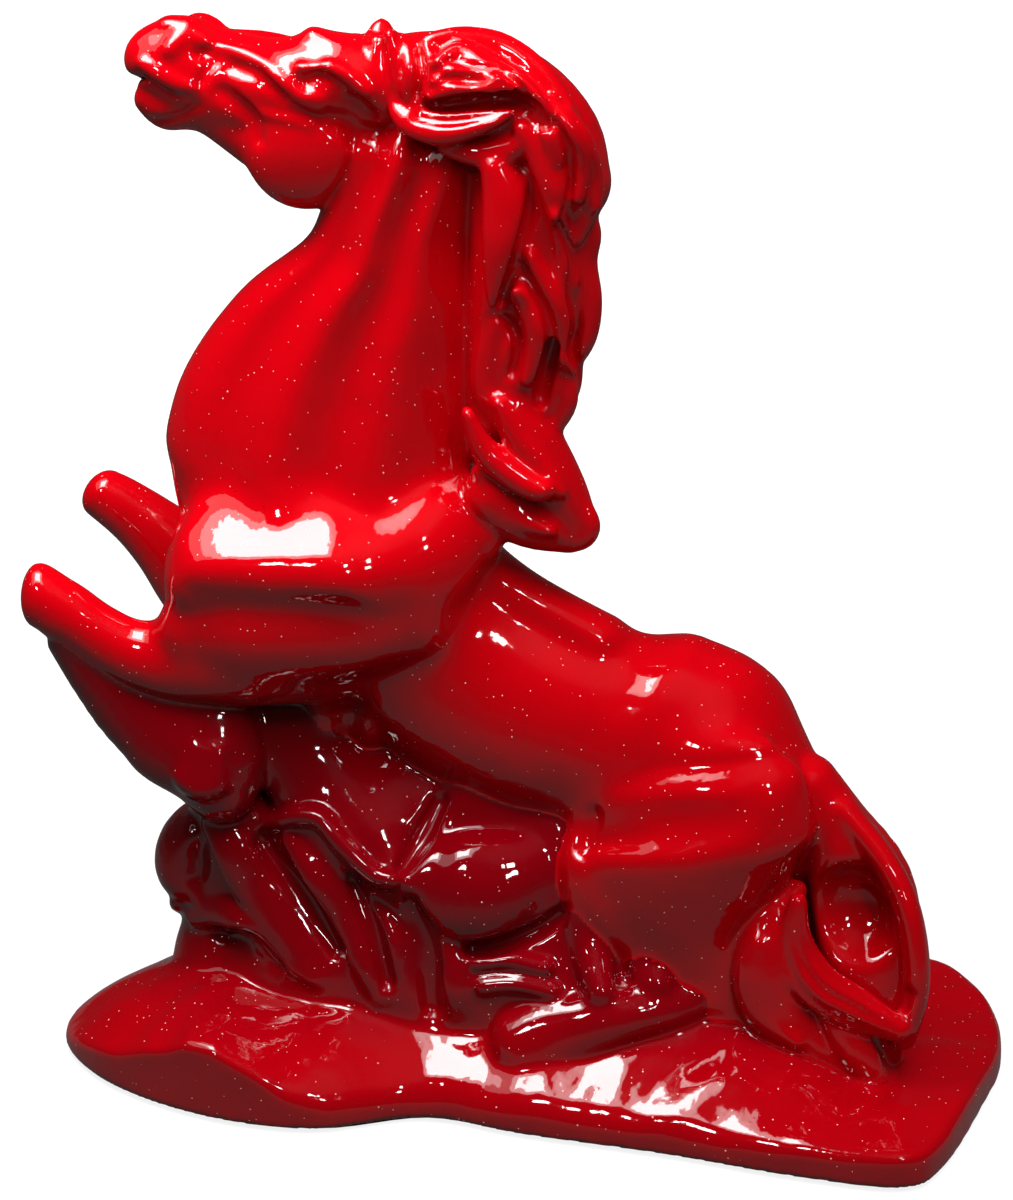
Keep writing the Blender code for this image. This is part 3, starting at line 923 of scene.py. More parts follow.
    def mesh(self, name: str, number: int) -> bpy.types.Mesh:
        """Makes one casting's closed mesh.

        Args:
            name: The mesh's name.
            number: The casting's number.

        Returns:
            The mesh, whose outer corners carry the fused field's own normals.
        """
        mine, theirs = self.front == number, self.behind == number
        faces = np.vstack([self.faces[mine], self.faces[theirs][:, ::-1]])
        outside = np.concatenate([self.behind[mine] == 0, self.front[theirs] == 0])
        used, compact = np.unique(faces, return_inverse=True)
        compact = compact.reshape(faces.shape)
        places = (self.points[used] * self.clay.pitch + np.array(self.clay.low)) * MM
        made = bpy.data.meshes.new(name)
        made.vertices.add(len(places))
        made.vertices.foreach_set("co", places.astype(np.float32).ravel())
        made.loops.add(compact.size)
        made.loops.foreach_set("vertex_index", compact.astype(np.int32).ravel())
        made.polygons.add(len(compact))
        made.polygons.foreach_set("loop_start", np.arange(0, compact.size, 4, dtype=np.int32))
        made.update(calc_edges=True)
        corners = places[compact]
        flat = np.cross(corners[:, 2] - corners[:, 0], corners[:, 3] - corners[:, 1])
        flat /= np.linalg.norm(flat, axis=1, keepdims=True) + 1e-12
        smooth = np.where(outside[:, None, None], self.normals[faces], flat[:, None, :])
        made.shade_smooth()
        made.normals_split_custom_set(smooth.reshape(-1, 3))
        return made


@dataclass
class Body:
    """The trunk and the neck, to which the head and the limbs are pinned.

    Attributes:
        barrel: Width of the barrel.
        neck: Width of the neck.
    """

    barrel: float = 37.0
    neck: float = 33.0

    def castings(self) -> list[Casting]:
        """The trunk and the neck."""
        return [self.trunk(), self.crest()]

    def trunk(self) -> Casting:
        """The barrel, with the rise of the croup and the line of the back."""
        core = [
            (x, 0.0, z + SLAB_TOP, a, share * self.barrel)
            for x, z, a, share in (
                (-30, 86, 16, 0.34), (-20.5, 77, 20.5, 0.44), (-9, 67.5, 21.5, 0.49), (3, 62, 21, 0.50),
                (13.5, 59.5, 20, 0.48), (23.5, 58, 22, 0.49), (32.5, 52, 24, 0.50), (41, 45.5, 20.5, 0.47),
                (48.5, 40.5, 15.5, 0.38), (53.5, 38.5, 9, 0.22),
            )
        ]
        return Casting(
            "trunk",
            [
                Sweep(core, Plane.BODY, fillet=3.0, stacked=True),
                Sweep([(650, 700, 5, 7, 7), (690, 690, 6, 8, 8), (740, 722, 6, 9, 8)], fillet=9.0),
                Sweep([(470, 560, 0, 5, 9), (520, 596, 0, 5, 9), (600, 640, 0, 5, 9)], fillet=6.0),
            ],
            weld=3.0,
        )

    def crest(self) -> Casting:
        """The arched neck, with the ridges of muscle along its sides."""
        core = [
            (x, 0.0, z + SLAB_TOP, a, share * self.neck)
            for x, z, a, share in (
                (-35, 63, 15, 0.34), (-34.5, 79, 26, 0.45), (-36.5, 93, 28.8, 0.55), (-38.5, 104, 29.2, 0.57),
                (-39.6, 114, 29.4, 0.54), (-36.8, 126, 27.2, 0.47), (-32.5, 138, 22.6, 0.40),
                (-26.7, 149.5, 16.4, 0.34), (-24.6, 158, 14.2, 0.30), (-21, 168, 13.5, 0.27),
            )
        ]
        return Casting(
            "neck",
            [Sweep(core, Plane.BODY, fillet=3.0, stacked=True, ridges=2.9, relief=1.4, phase=0.17)],
            weld=4.0,
        )


@dataclass
class Head:
    """The head, raised and turned forward, with its two ears.

    Attributes:
        brow: Half thickness across the brow.
        muzzle: Half thickness across the muzzle.
    """

    brow: float = 10.5
    muzzle: float = 7.4

    def castings(self) -> list[Casting]:
        """The head and the ears."""
        return [self.face(), self.near_ear(), self.off_ear()]

    def face(self) -> Casting:
        """The skull, with its jaw, muzzle, mouth, nostrils and eyes."""
        brow, muzzle = self.brow, self.muzzle
        skull = [
            (392, 82, 0, 8.4, 8), (350, 80, 0, 8.4, brow), (312, 80, 0, 8.2, 0.98 * brow),
            (272, 84, 0, 8.6, 0.84 * brow), (236, 82, 0, 9.2, 0.95 * muzzle),
            (208, 74, 0, 9.0, 0.95 * muzzle), (182, 62, 0, 8.2, muzzle), (160, 58, 0, 6.4, 0.9 * muzzle),
            (146, 60, 0, 4.0, 0.7 * muzzle),
        ]
        return Casting(
            "head",
            [
                Sweep(skull, fillet=3.0),
                Sweep([(314, 38, 0, 2.0, 5), (342, 54, 0, 2.6, 6)], fillet=4.0),
                lock([(150, 99), (168, 106), (186, 108), (212, 112), (256, 140)], 0,
                     (3.0, 4.4, 4.0, 4.4, 5.0), (4.6, 5.6, 5.4, 6.0), 1.4),
                Sweep([(170, 26, 0, 1.8, 4.2), (192, 27, 0, 1.8, 4.2)], fillet=3.0),
                stroke([(126, 78), (142, 79), (160, 83), (176, 92), (192, 95)], 0,
                       (0.7, 0.45, 0.4, 0.5, 0.3), 9, 0.5, drape=False, carve=True),
            ],
            [
                Crag((304, 150, -4.5), (11.2, 6.0, 11.2), fillet=4.0),
                stroke([(141, 62), (160, 72), (178, 82), (194, 88)], 0.5, (1.4, 1.9, 1.8, 1.2), 1.5, 0.8),
                stroke([(170, 50), (184, 38), (200, 40), (210, 50)], 0.9, (2.0, 2.6, 2.4, 1.6), 2.2, 1.2),
                groove([(200, 53), (207, 52)], -0.3, 1.3, 2.0, 0.6),
                groove([(214, 60), (206, 72), (200, 84)], -0.4, 0.9, 1.2, 1.2),
                groove([(152, 122), (176, 118), (196, 106)], -0.3, 0.9, 1.0, 1.5),
                stroke([(224, 48), (250, 58), (276, 76), (298, 92), (316, 104), (334, 116)], 0.5,
                       (1.4, 2.0, 2.0, 1.6, 1.0), 1.8, 1.4),
                stroke([(300, 68), (318, 71), (330, 68), (348, 76), (366, 92)], 0.5, (1.2, 1.7, 1.7, 1.2),
                       1.7, 1.0),
                groove([(304, 82), (320, 84), (340, 92)], -0.5, (1.6, 2.6, 1.8), 1.8, 1.0),
                stroke([(318, 86), (328, 88)], 1.2, 2.0, 1.9, 0.4),
                stroke([(310, 96), (324, 99), (342, 104)], 0.5, (0.9, 1.2, 0.9), 1.2, 0.8),
                groove([(338, 104), (352, 110), (366, 118)], -0.6, (2.2, 3.0, 2.2), 2.0, 2.0),
                stroke([(244, 100), (262, 112), (288, 119), (312, 126)], 0.6, (0.8, 1.3, 0.9), 1.3, 0.8),
                groove([(222, 92), (248, 116), (258, 140)], -0.5, (1.4, 2.0, 1.2), 1.6, 2.0),
                groove([(330, 120), (352, 128), (362, 150), (352, 180), (336, 200)], -0.5,
                       (1.6, 2.4, 2.2, 1.6), 1.6, 3.0),
                groove([(232, 66), (256, 76), (284, 98)], -0.3, (1.0, 1.6, 1.0), 1.2, 1.6),
            ],
            weld=2.5,
        )

    def near_ear(self) -> Casting:
        """The near ear, laid back along the mane."""
        rows = [
            (398, 112, -8.5, 1.8, 2.0), (412, 122, -10, 2.8, 2.2), (440, 129, -11.5, 3.2, 2.2),
            (470, 125, -12.5, 2.7, 2.0), (498, 117, -13, 1.7, 1.5), (515, 111, -13, 0.7, 0.8),
        ]
        hollow = groove([(414, 116), (445, 119), (478, 116), (502, 113)], -0.5, (1.0, 1.7, 1.3, 0.5), 1.7,
                        0.5)
        rib = stroke([(420, 112), (450, 116), (485, 113)], 0.6, (0.4, 0.6, 0.3), 0.8, 0.4)
        return Casting("near_ear", [Sweep(rows, fillet=1.0), hollow, rib], weld=1.0)

    def off_ear(self) -> Casting:
        """The off ear, pricked beyond the forelock."""
        rows = [
            (384, 72, 4, 4.4, 3.2), (382, 48, 4.5, 3.6, 2.6), (381, 34, 5, 2.7, 2.2),
            (382, 25, 5.5, 1.6, 1.5),
        ]
        return Casting("off_ear", [Sweep(rows, fillet=1.0)], weld=1.2)


@dataclass
class Limbs:
    """The forelegs, raised and folded, and the hind legs, which kneel on the rocks.

    Attributes:
        thigh: Width of a thigh.
        hip: How far a hind leg stands from the middle.
        lead: How far the off hind leg stands ahead of the near one.
        drop: How far it stands lower.
    """

    thigh: float = 23.0
    hip: float = 14.06
    lead: float = 9.0
    drop: float = 5.0

    def castings(self) -> list[Casting]:
        """The four legs."""
        return [
            self.hind("near_hind_leg", -self.hip, 0.0, 0.0),
            self.hind("off_hind_leg", self.hip, self.lead, self.drop),
            self.near_fore(),
            self.off_fore(),
        ]

    def hind(self, node: str, side: float, lead: float, drop: float) -> Casting:
        """A hind leg, from the hip to the hock.

        Args:
            node: Its node.
            side: Its place along y.
            lead: How far it is moved ahead.
            drop: How far it is moved down.

        Returns:
            The casting.
        """
        core = [
            (x - lead, side, z + SLAB_TOP - drop, a, share * self.thigh)
            for x, z, a, share in (
                (40, 62, 9, 0.18), (38, 56, 16, 0.42), (36, 47, 20, 0.54), (34, 40, 20, 0.53),
                (33, 31.5, 18, 0.46), (35, 24, 11.5, 0.38), (41, 15, 7, 0.30), (48, 6, 6, 0.28),
            )
        ]
        stifle = [
            (x - lead, side, z + SLAB_TOP - drop, a, b)
            for x, z, a, b in (
                (24, 50, 7, 6), (18, 41, 8, 8), (16.5, 34, 8, 8.5), (24, 25, 7, 8), (38, 13, 6.5, 7),
            )
        ]
        folds = [
            groove([(614, 716), (608, 756), (598, 800), (576, 846)], -0.2, (0.8, 2.0, 2.6, 1.2),
                   (0.3, 2.0, 2.4, 0.4), 4.0),
            groove([(586, 838), (640, 824), (700, 822), (752, 812)], -0.8, (1.4, 4.2, 4.2, 1.4),
                   (0.4, 2.2, 2.2, 0.4), 6.0),
        ]
        thigh = Sweep(core, Plane.BODY, fillet=5.0, stacked=True)
        return Casting(node, [thigh, Sweep(stifle, Plane.BODY, fillet=5.0), *folds], weld=7.0)

    def near_fore(self) -> Casting:
        """The near foreleg, with its forearm, knee, cannon and hoof."""
        arm = [
            (478, 522, -8, 7, 5), (442, 544, -12.5, 10, 7.5), (390, 564, -16.5, 8.6, 8.5),
            (330, 576, -19, 6.2, 8.0), (270, 580, -20, 5.6, 8.0), (222, 583, -20, 5.4, 7.6),
            (194, 588, -20, 4.6, 7),
        ]
        leg = [
            (372, 618, -8, 12, 8), (318, 640, -11.5, 11, 10), (258, 652, -14.5, 10, 10),
            (210, 658, -16.5, 8.6, 8.6), (168, 660, -17.5, 7.4, 7), (134, 653, -18, 6.2, 6),
            (104, 637, -18, 5.6, 5.6), (74, 616, -18, 5.6, 5.6), (50, 602, -18, 6.0, 5.8),
            (38, 595, -18, 5.6, 5.4),
        ]
        web = [
            (410, 592, -13, 12, 9), (330, 614, -16.5, 12, 10), (250, 624, -18, 10.5, 10),
            (196, 628, -18, 7, 8),
        ]
        planes = [(-97, 50, 0.77), (-92, 2, 0.77), (-90, -60, 0.42)]
        return Casting(
            "near_foreleg",
            [
                Sweep(leg, fillet=3.0, stacked=True, cap=0.6),
                Sweep(web, fillet=6.0, stacked=True),
                Sweep(arm, fillet=7.0, stacked=True),
                Crag((288, 566, -14), (23, 20, 16), planes, fillet=5.0, soft=4.0),
            ],
            weld=8.0,
        )

    def off_fore(self) -> Casting:
        """The off foreleg, folded beyond the chest."""
        shoulder = [
            (-16, 17.5, 95 + SLAB_TOP, 9, 5.6), (-30, 17.5, 88 + SLAB_TOP, 12.5, 8.4),
            (-46, 17.5, 82 + SLAB_TOP, 15, 10), (-58.5, 17.5, 79 + SLAB_TOP, 14, 9.2),
        ]
        rows = [
            (250, 602, 17, 13, 9.4), (200, 574, 17.5, 9.8, 8.6), (164, 540, 17.5, 7.2, 7),
            (138, 517, 17.5, 6.0, 5.8), (116, 501, 17.5, 5.4, 5.4), (103, 493, 17.5, 5.0, 5.2),
        ]
        return Casting(
            "off_foreleg",
            [
                Sweep(shoulder, Plane.BODY, fillet=3.0, stacked=True),
                Sweep(rows, fillet=5.0, stacked=True, cap=0.7),
            ],
            weld=5.0,
        )


@dataclass
class Mane:
    """The mane, in three castings that fall from the poll to the withers.

    Attributes:
        width: Width of the mane.
    """

    width: float = 26.0

    def castings(self) -> list[Casting]:
        """The crest, the fall and the hooked end."""
        return [self.top(), self.fall(), self.hook()]

    def top(self) -> Casting:
        """The hair over the poll, combed back in thick locks."""
        half = self.width / 2
        core = [
            (392, 70, 0, 6, 6), (425, 75, 0, 8, 0.7 * half), (470, 85, 0, 9.5, 0.85 * half),
            (515, 105, 0, 10, 0.9 * half), (550, 140, 0, 9.5, 0.9 * half), (565, 180, 0, 8.5, 0.9 * half),
        ]
        locks = [
            stroke([(376, 40), (377, 65), (382, 90), (390, 102)], 0.2, (1.2, 1.9, 1.8, 0.8), 2.0, 0.5),
            stroke([(390, 34), (394, 62), (394, 92), (400, 108)], 0.1, (1.3, 2.1, 1.9, 0.8), 2.2, 0.5),
            stroke([(404, 40), (412, 66), (410, 92), (418, 110)], 0.2, (1.2, 2.2, 1.9, 0.8), 2.2, 0.5),
            stroke([(424, 44), (432, 70), (426, 98)], 0.3, (1.2, 2.2, 1.0), 2.2, 0.5),
            stroke([(432, 40), (462, 38), (500, 46), (535, 70), (562, 104), (578, 140)], 0.0,
                   (1.6, 2.6, 2.6, 1.8), 2.6, 0.6),
            stroke([(436, 64), (456, 54), (478, 58), (506, 72)], -0.3, (1.2, 2.2, 1.9, 0.9), 2.2, 0.5),
            stroke([(438, 82), (458, 70), (486, 70), (514, 84), (542, 112), (560, 150)], -0.3,
                   (1.4, 2.4, 2.4, 1.4), 2.6, 0.6),
            stroke([(434, 98), (458, 88), (482, 90), (505, 82), (524, 92), (544, 118), (556, 158)], -0.5,
                   (1.4, 2.4, 2.4, 1.6), 2.8, 0.6),
            stroke([(566, 112), (582, 140), (592, 172), (594, 205)], 0.0, (1.4, 2.4, 1.6), 2.6, 0.6),
            stroke([(552, 100), (570, 132), (580, 166), (578, 198)], -0.4, (1.0, 2.0, 1.4), 2.2, 0.5),
            groove([(432, 106), (466, 103), (500, 100), (530, 108), (548, 128)], -0.2, (1.2, 2.0, 2.0, 1.0),
                   3.4, 0.6),
            groove([(446, 60), (470, 64), (498, 70), (528, 92)], -0.2, (0.5, 0.8, 0.8, 0.5), 1.8, 0.4),
            groove([(442, 78), (466, 80), (492, 80)], -0.2, (0.5, 0.8, 0.4), 1.8, 0.4),
            groove([(556, 120), (572, 156), (570, 196)], -0.2, (0.5, 0.9, 0.6), 1.8, 0.4),
            groove([(384, 44), (386, 72), (392, 98)], -0.2, (0.5, 0.8, 0.5), 1.6, 0.4),
            groove([(418, 44), (421, 72), (416, 100)], -0.2, (0.6, 1.0, 0.6), 2.0, 0.4),
        ]
        return Casting("mane_crest", [Sweep(core, fillet=2.0), *locks], weld=1.5)

    def fall(self) -> Casting:
        """The hair that hangs down the back of the neck, in twisted locks."""
        half = self.width / 2
        core = [
            (560, 165, 0, 7.5, 0.85 * half), (546, 230, 0, 9.2, 0.85 * half), (540, 290, 0, 9.6, 0.85 * half),
            (536, 345, 0, 9.2, 0.8 * half), (538, 390, -1, 6, 0.7 * half), (520, 420, -2, 4.5, 0.5 * half),
        ]
        inner = [
            (498, 150, -1, 5.0, 8), (500, 215, -1, 5.4, 9), (497, 280, -2, 5.0, 9), (492, 345, -2, 4.6, 8),
            (488, 400, -2, 4.0, 7), (492, 450, -3, 4.0, 6),
        ]
        locks = [
            Sweep(inner, fillet=3.0),
            lock([(446, 148), (480, 154), (508, 150), (526, 140)], (-9.5, -11), (1.6, 2.6, 2.8, 1.6), 2.4,
                 0.8),
            lock([(523, 130), (541, 151), (554, 185), (556, 206), (551, 221)], (-11, -12.5),
                 (2.0, 3.4, 3.0, 0.6), (2.8, 3.0, 1.0), 0.7),
            lock([(496, 168), (506, 200), (504, 240), (497, 280), (492, 311)], (-11, -12.5, -12.5),
                 (3.0, 4.4, 4.2, 2.6, 0.7), (3.2, 3.4, 1.4), 0.7),
            lock([(530, 178), (532, 214), (524, 252), (506, 288)], -9, (1.4, 2.6, 2.2, 0.8), 2.6, 0.7),
            stroke([(556, 212), (562, 240), (566, 275), (562, 300), (564, 330), (558, 352), (570, 368)], 0.5,
                   (1.4, 2.6, 2.8, 2.2, 1.2), 2.8, 0.7),
            stroke([(528, 250), (536, 272), (548, 296), (552, 322), (546, 350)], 0.4, (1.2, 2.6, 2.6, 1.2),
                   2.6, 0.7),
            stroke([(508, 288), (528, 300), (540, 325), (538, 348), (528, 378)], 0.4, (1.2, 3.2, 3.2, 1.4),
                   3.0, 0.7),
            lock([(500, 312), (494, 345), (490, 385), (500, 420)], (-8, -7), (1.6, 3.6, 3.6, 2.2), 3.2, 1.0),
            lock([(514, 330), (512, 365), (518, 400), (530, 424)], (-9, -7), (1.4, 2.8, 2.6, 1.6), 2.8, 0.8),
            lock([(582, 205), (588, 232), (583, 262), (588, 300), (584, 335), (572, 365)], -3,
                 (1.4, 2.8, 2.6, 2.8, 1.6), 3.4, 0.8),
            lock([(590, 178), (586, 210), (578, 240)], -7, (1.4, 2.2, 1.0), 2.4, 0.7),
            lock([(545, 358), (562, 376), (566, 400), (556, 422), (544, 428)], -5, (1.4, 2.4, 2.2, 1.2), 2.8,
                 0.7),
            lock([(576, 352), (570, 385), (562, 412)], -2, (1.4, 2.2, 1.4), 2.6, 0.7),
            groove([(532, 178), (530, 215), (518, 258), (500, 306)], -0.2, (0.8, 1.3, 1.3, 0.8), 2.6, 0.6),
            groove([(566, 150), (572, 190), (560, 228)], -0.2, (0.6, 1.1, 0.7), 2.4, 0.5),
            groove([(560, 226), (574, 262), (572, 292), (577, 322), (572, 350), (578, 368)], -0.2,
                   (0.7, 1.2, 1.2, 0.8), 2.8, 0.5),
            groove([(522, 262), (534, 290), (548, 318), (550, 350), (536, 398)], -0.2, (0.6, 1.1, 1.2, 0.9),
                   2.6, 0.5),
            groove([(492, 314), (510, 322), (518, 345), (510, 378)], -0.2, (0.6, 1.1, 0.7), 2.2, 0.5),
            groove([(552, 346), (546, 372), (540, 404)], -0.2, (1.4, 1.8, 1.4), 4.0, 0.6),
        ]
        return Casting("mane_fall", [Sweep(core, fillet=2.0), *locks], weld=1.5)

    def hook(self) -> Casting:
        """The end of the mane, which curls forward and hooks over the withers."""
        core = [
            (512, 408, -6, 4.5, 6), (535, 440, -6, 5.0, 6), (560, 490, -5, 5.0, 6), (576, 524, -4, 4.0, 5),
        ]
        under = [(494, 495, -8, 6, 6), (530, 516, -7, 6, 5.5), (568, 532, -5, 4, 4.5)]
        locks = [
            lock([(467, 412), (483, 448), (508, 471), (534, 488), (546, 490)], -13, (1.2, 2.8, 2.8, 1.6),
                 2.6, 0.8, ridges=3.0, relief=0.35),
            lock([(498, 402), (516, 432), (540, 462), (560, 492)], -10, (1.6, 3.0, 2.6, 1.4), 3.0, 0.8),
            lock([(556, 470), (572, 496), (588, 522), (582, 538), (562, 540)], -6, (1.4, 2.2, 2.4, 1.8), 2.8,
                 0.8),
            lock([(478, 470), (500, 500), (528, 522), (552, 532)], -11, (1.4, 2.4, 2.2, 1.2), 2.4, 0.8),
        ]
        return Casting("mane_hook", [Sweep(core, fillet=1.5), Sweep(under, fillet=1.5), *locks], weld=1.5)


@dataclass
class Tail:
    """The tail, which swings out behind and curls round a deep hollow.

    Attributes:
        width: Width of the tail.
    """

    width: float = 20.0

    def castings(self) -> list[Casting]:
        """The dock and the swirl."""
        return [self.dock(), self.swirl()]

    def dock(self) -> Casting:
        """The outer sweep of the tail and the back of its hollow."""
        core = [
            (808, 785, -2, 6, 0.8 * self.width / 2), (834, 832, -3, 7.5, 0.8 * self.width / 2),
            (860, 885, -5, 10, 8), (870, 945, -7, 10, 8), (868, 1000, -9, 9, 7), (872, 1045, -11, 6, 5.5),
        ]
        wall = [(800, 850, 2, 7, 4), (812, 910, 3, 9, 4), (825, 970, 1, 9, 4), (835, 1010, -3, 8, 5)]
        rim = [
            (845, 812, -6, 2.4, 4), (880, 856, -9, 2.6, 4.5), (904, 900, -12, 2.6, 5),
            (915, 950, -14, 2.6, 5), (915, 995, -15, 2.6, 4.5), (904, 1035, -15, 2.6, 4),
        ]
        return Casting(
            "tail_dock",
            [
                Sweep(core, fillet=2.0),
                Sweep(wall, fillet=2.0),
                self.bowl(),
                Sweep(rim, fillet=3.0),
                stroke([(906, 998), (902, 1012)], -20, 1.6, 3.0, 1.0, drape=False, carve=True),
            ],
            weld=2.0,
        )

    def bowl(self) -> Crag:
        """The hollow that the tail curls round."""
        return Crag((852, 930, -23), (13.0, 17.0, 12.0), fillet=3.0, carve=True)

    def swirl(self) -> Casting:
        """The inner sweep of the tail, in locks that turn up to a point."""
        core = [
            (797, 890, -13, 2, 3), (775, 922, -16, 5, 5.5), (766, 958, -18, 6.5, 6.5),
            (775, 1000, -18, 6.8, 6.5), (805, 1032, -17, 6.2, 6), (845, 1056, -16, 5, 5.5),
            (880, 1080, -15, 3.2, 4.5),
        ]
        locks = [
            lock([(798, 900), (796, 945), (818, 985), (856, 1008), (898, 1030)], (-20, -21, -19),
                 (1.6, 4.0, 4.4, 2.4), (2.2, 2.6), 1.0, ridges=3.0, relief=0.5),
            lock([(815, 985), (838, 1020), (860, 1056), (878, 1082), (886, 1094)], (-20, -20, -18),
                 (1.6, 3.4, 3.6, 2.0, 0.6), (2.0, 2.2, 1.2), 0.6),
            lock([(760, 940), (752, 975), (764, 1012), (796, 1042)], (-21, -22), (1.6, 3.4, 3.4, 1.6), 3.0,
                 2.0),
        ]
        return Casting("tail_swirl", [Sweep(core, fillet=1.5), *locks], weld=1.2)


@dataclass
class Ground:
    """The rocky base and the spur that carries the near foreleg.

    Attributes:
        outline: The base's outline.
    """

    outline: Outline = field(default_factory=Outline)

    def castings(self) -> list[Casting]:
        """The base and the spur."""
        return [self.rocks(), self.spur()]

    def rocks(self) -> Casting:
        """The slab with its pile of rocks, folds and boulders."""
        pile = [
            (-54, 2, 34, 18, 19), (-38, 1, 38, 27, 22), (-15, 1, 36, 27, 23), (8, 1, 29, 23, 23),
            (30, 1, 19, 16, 21), (50, 2, 12, 8, 18),
        ]
        skirt = [
            (-56, -3, 16, 13, 15), (-34, -7, 20, 19, 18), (-10, -8, 20, 20, 18), (14, -8, 18, 17, 19),
            (38, -7, 12, 10, 19),
        ]
        mantle = [
            stroke([(286, 745), (326, 790), (362, 835), (386, 862)], (5, 4, 3.5), (8, 10, 9, 6), (7, 7, 6),
                   4.0),
            stroke([(400, 872), (440, 882), (478, 888), (520, 874), (556, 858)], (4, 2.5, 4),
                   (5, 9.5, 11, 9, 6), (6, 8, 6), 3.0),
            stroke([(470, 800), (520, 820), (560, 838)], 4, (7, 8, 7), 6, 4.0),
            stroke([(203, 803), (232, 819), (270, 823), (300, 816), (322, 820), (346, 848), (374, 874),
                   (396, 880)], 1.0, (1.8, 2.2, 2.2, 2.0), 3.4, 1.5),
        ]
        folds = [
            lock([(205, 814), (190, 842), (185, 866), (196, 888)], -4, (3.5, 6.0, 5, 3.0), 12, 3.0),
            lock([(232, 806), (246, 850), (258, 900)], -9, (7, 8, 7), 9, 4.0),
            lock([(226, 822), (244, 846)], -14, 3.4, 5.0, 2.0),
            lock([(184, 902), (205, 906)], -4, 2.2, 9, 2.0),
            stroke([(212, 822), (236, 850), (262, 888), (297, 931), (330, 978)], 0.6, (2.4, 5.4, 5.0, 3.0),
                   (1.6, 2.8, 2.4, 0.2), 1.6),
            stroke([(292, 838), (320, 872), (350, 914), (374, 966), (388, 1004)], 0.5, (2.4, 5.0, 4.4, 3.0),
                   (1.6, 3.0, 2.6, 0.2), 1.4),
            stroke([(367, 900), (388, 944), (397, 1000)], 0.3, (2.0, 3.8, 2.4), (1.2, 2.8, 0.2), 1.4),
            stroke([(420, 926), (448, 954), (462, 988), (466, 1022)], 0.3, (2.4, 5.4, 3.0), (1.2, 3.0, 0.2),
                   1.4),
            stroke([(192, 914), (240, 913), (276, 944), (318, 976)], 0.4, (2.4, 4.4, 4.0, 2.4),
                   (1.6, 2.8, 2.4, 0.2), 1.2),
            stroke([(522, 1046), (556, 1036), (620, 1017), (680, 1004), (725, 985)], (2.0, 1.0),
                   (7, 8, 6, 5, 3), (6, 7, 6, 4), 2.0),
            stroke([(478, 962), (508, 960), (545, 968)], 0.4, 2.0, 2.6, 1.2),
            stroke([(484, 986), (515, 984), (552, 992)], 0.4, 2.0, 2.6, 1.2),
            stroke([(575, 905), (590, 950), (602, 996)], 1.0, (3, 4, 3), 4, 2.0),
            stroke([(640, 950), (655, 985)], 1.0, (4, 4), 4, 2.0),
            groove([(262, 842), (298, 892), (336, 950)], -0.2, (1.6, 2.6, 1.6), 2.8, 3.0),
            groove([(352, 880), (372, 930), (388, 985)], -0.2, (1.2, 2.0, 1.2), 2.6, 2.5),
            groove([(410, 905), (424, 950), (432, 1010)], -0.2, (1.6, 3.0, 2.0), 3.0, 3.0),
            groove([(216, 934), (248, 944), (280, 968)], -0.2, (1.4, 2.2, 1.0), 2.6, 2.0),
            groove([(470, 950), (500, 946), (545, 926), (568, 905)], 0.0, (1.4, 1.8, 1.4), 3.0, 1.5),
            groove([(440, 800), (420, 838), (404, 866)], 0.0, (1.4, 2.0, 1.4), 2.4, 3.0),
        ]
        return Casting(
            "rock_base",
            [
                Sweep(pile, Plane.BODY, fillet=2.0, cap=0.7, stacked=True),
                Sweep(skirt, Plane.BODY, fillet=6.0, stacked=True),
                Slab(self.outline, fillet=3.0),
                *mantle,
                *folds,
            ],
            weld=2.0,
        )

    def spur(self) -> Casting:
        """The spur of rock under the near forearm."""
        rows = [
            (64, 642, -17, 3.2, 5), (98, 670, -16, 6, 6), (140, 698, -15, 10, 7), (182, 720, -15, 13, 8),
            (212, 752, -16, 11, 9), (222, 785, -16, 7, 9),
        ]
        web = [(215, 715, -9, 8, 7), (262, 720, -7, 10, 8), (310, 720, -5, 12, 8)]
        planes = [(-90, 20, 0.6), (-20, 10, 0.7), (-160, 30, 0.7), (-90, 80, 0.7)]
        block = Crag((208, 762, -21), (7.6, 8, 7.4), planes, fillet=1.5)
        return Casting("fore_spur", [Sweep(rows, fillet=2.0), Sweep(web, fillet=2.0), block], weld=2.0)


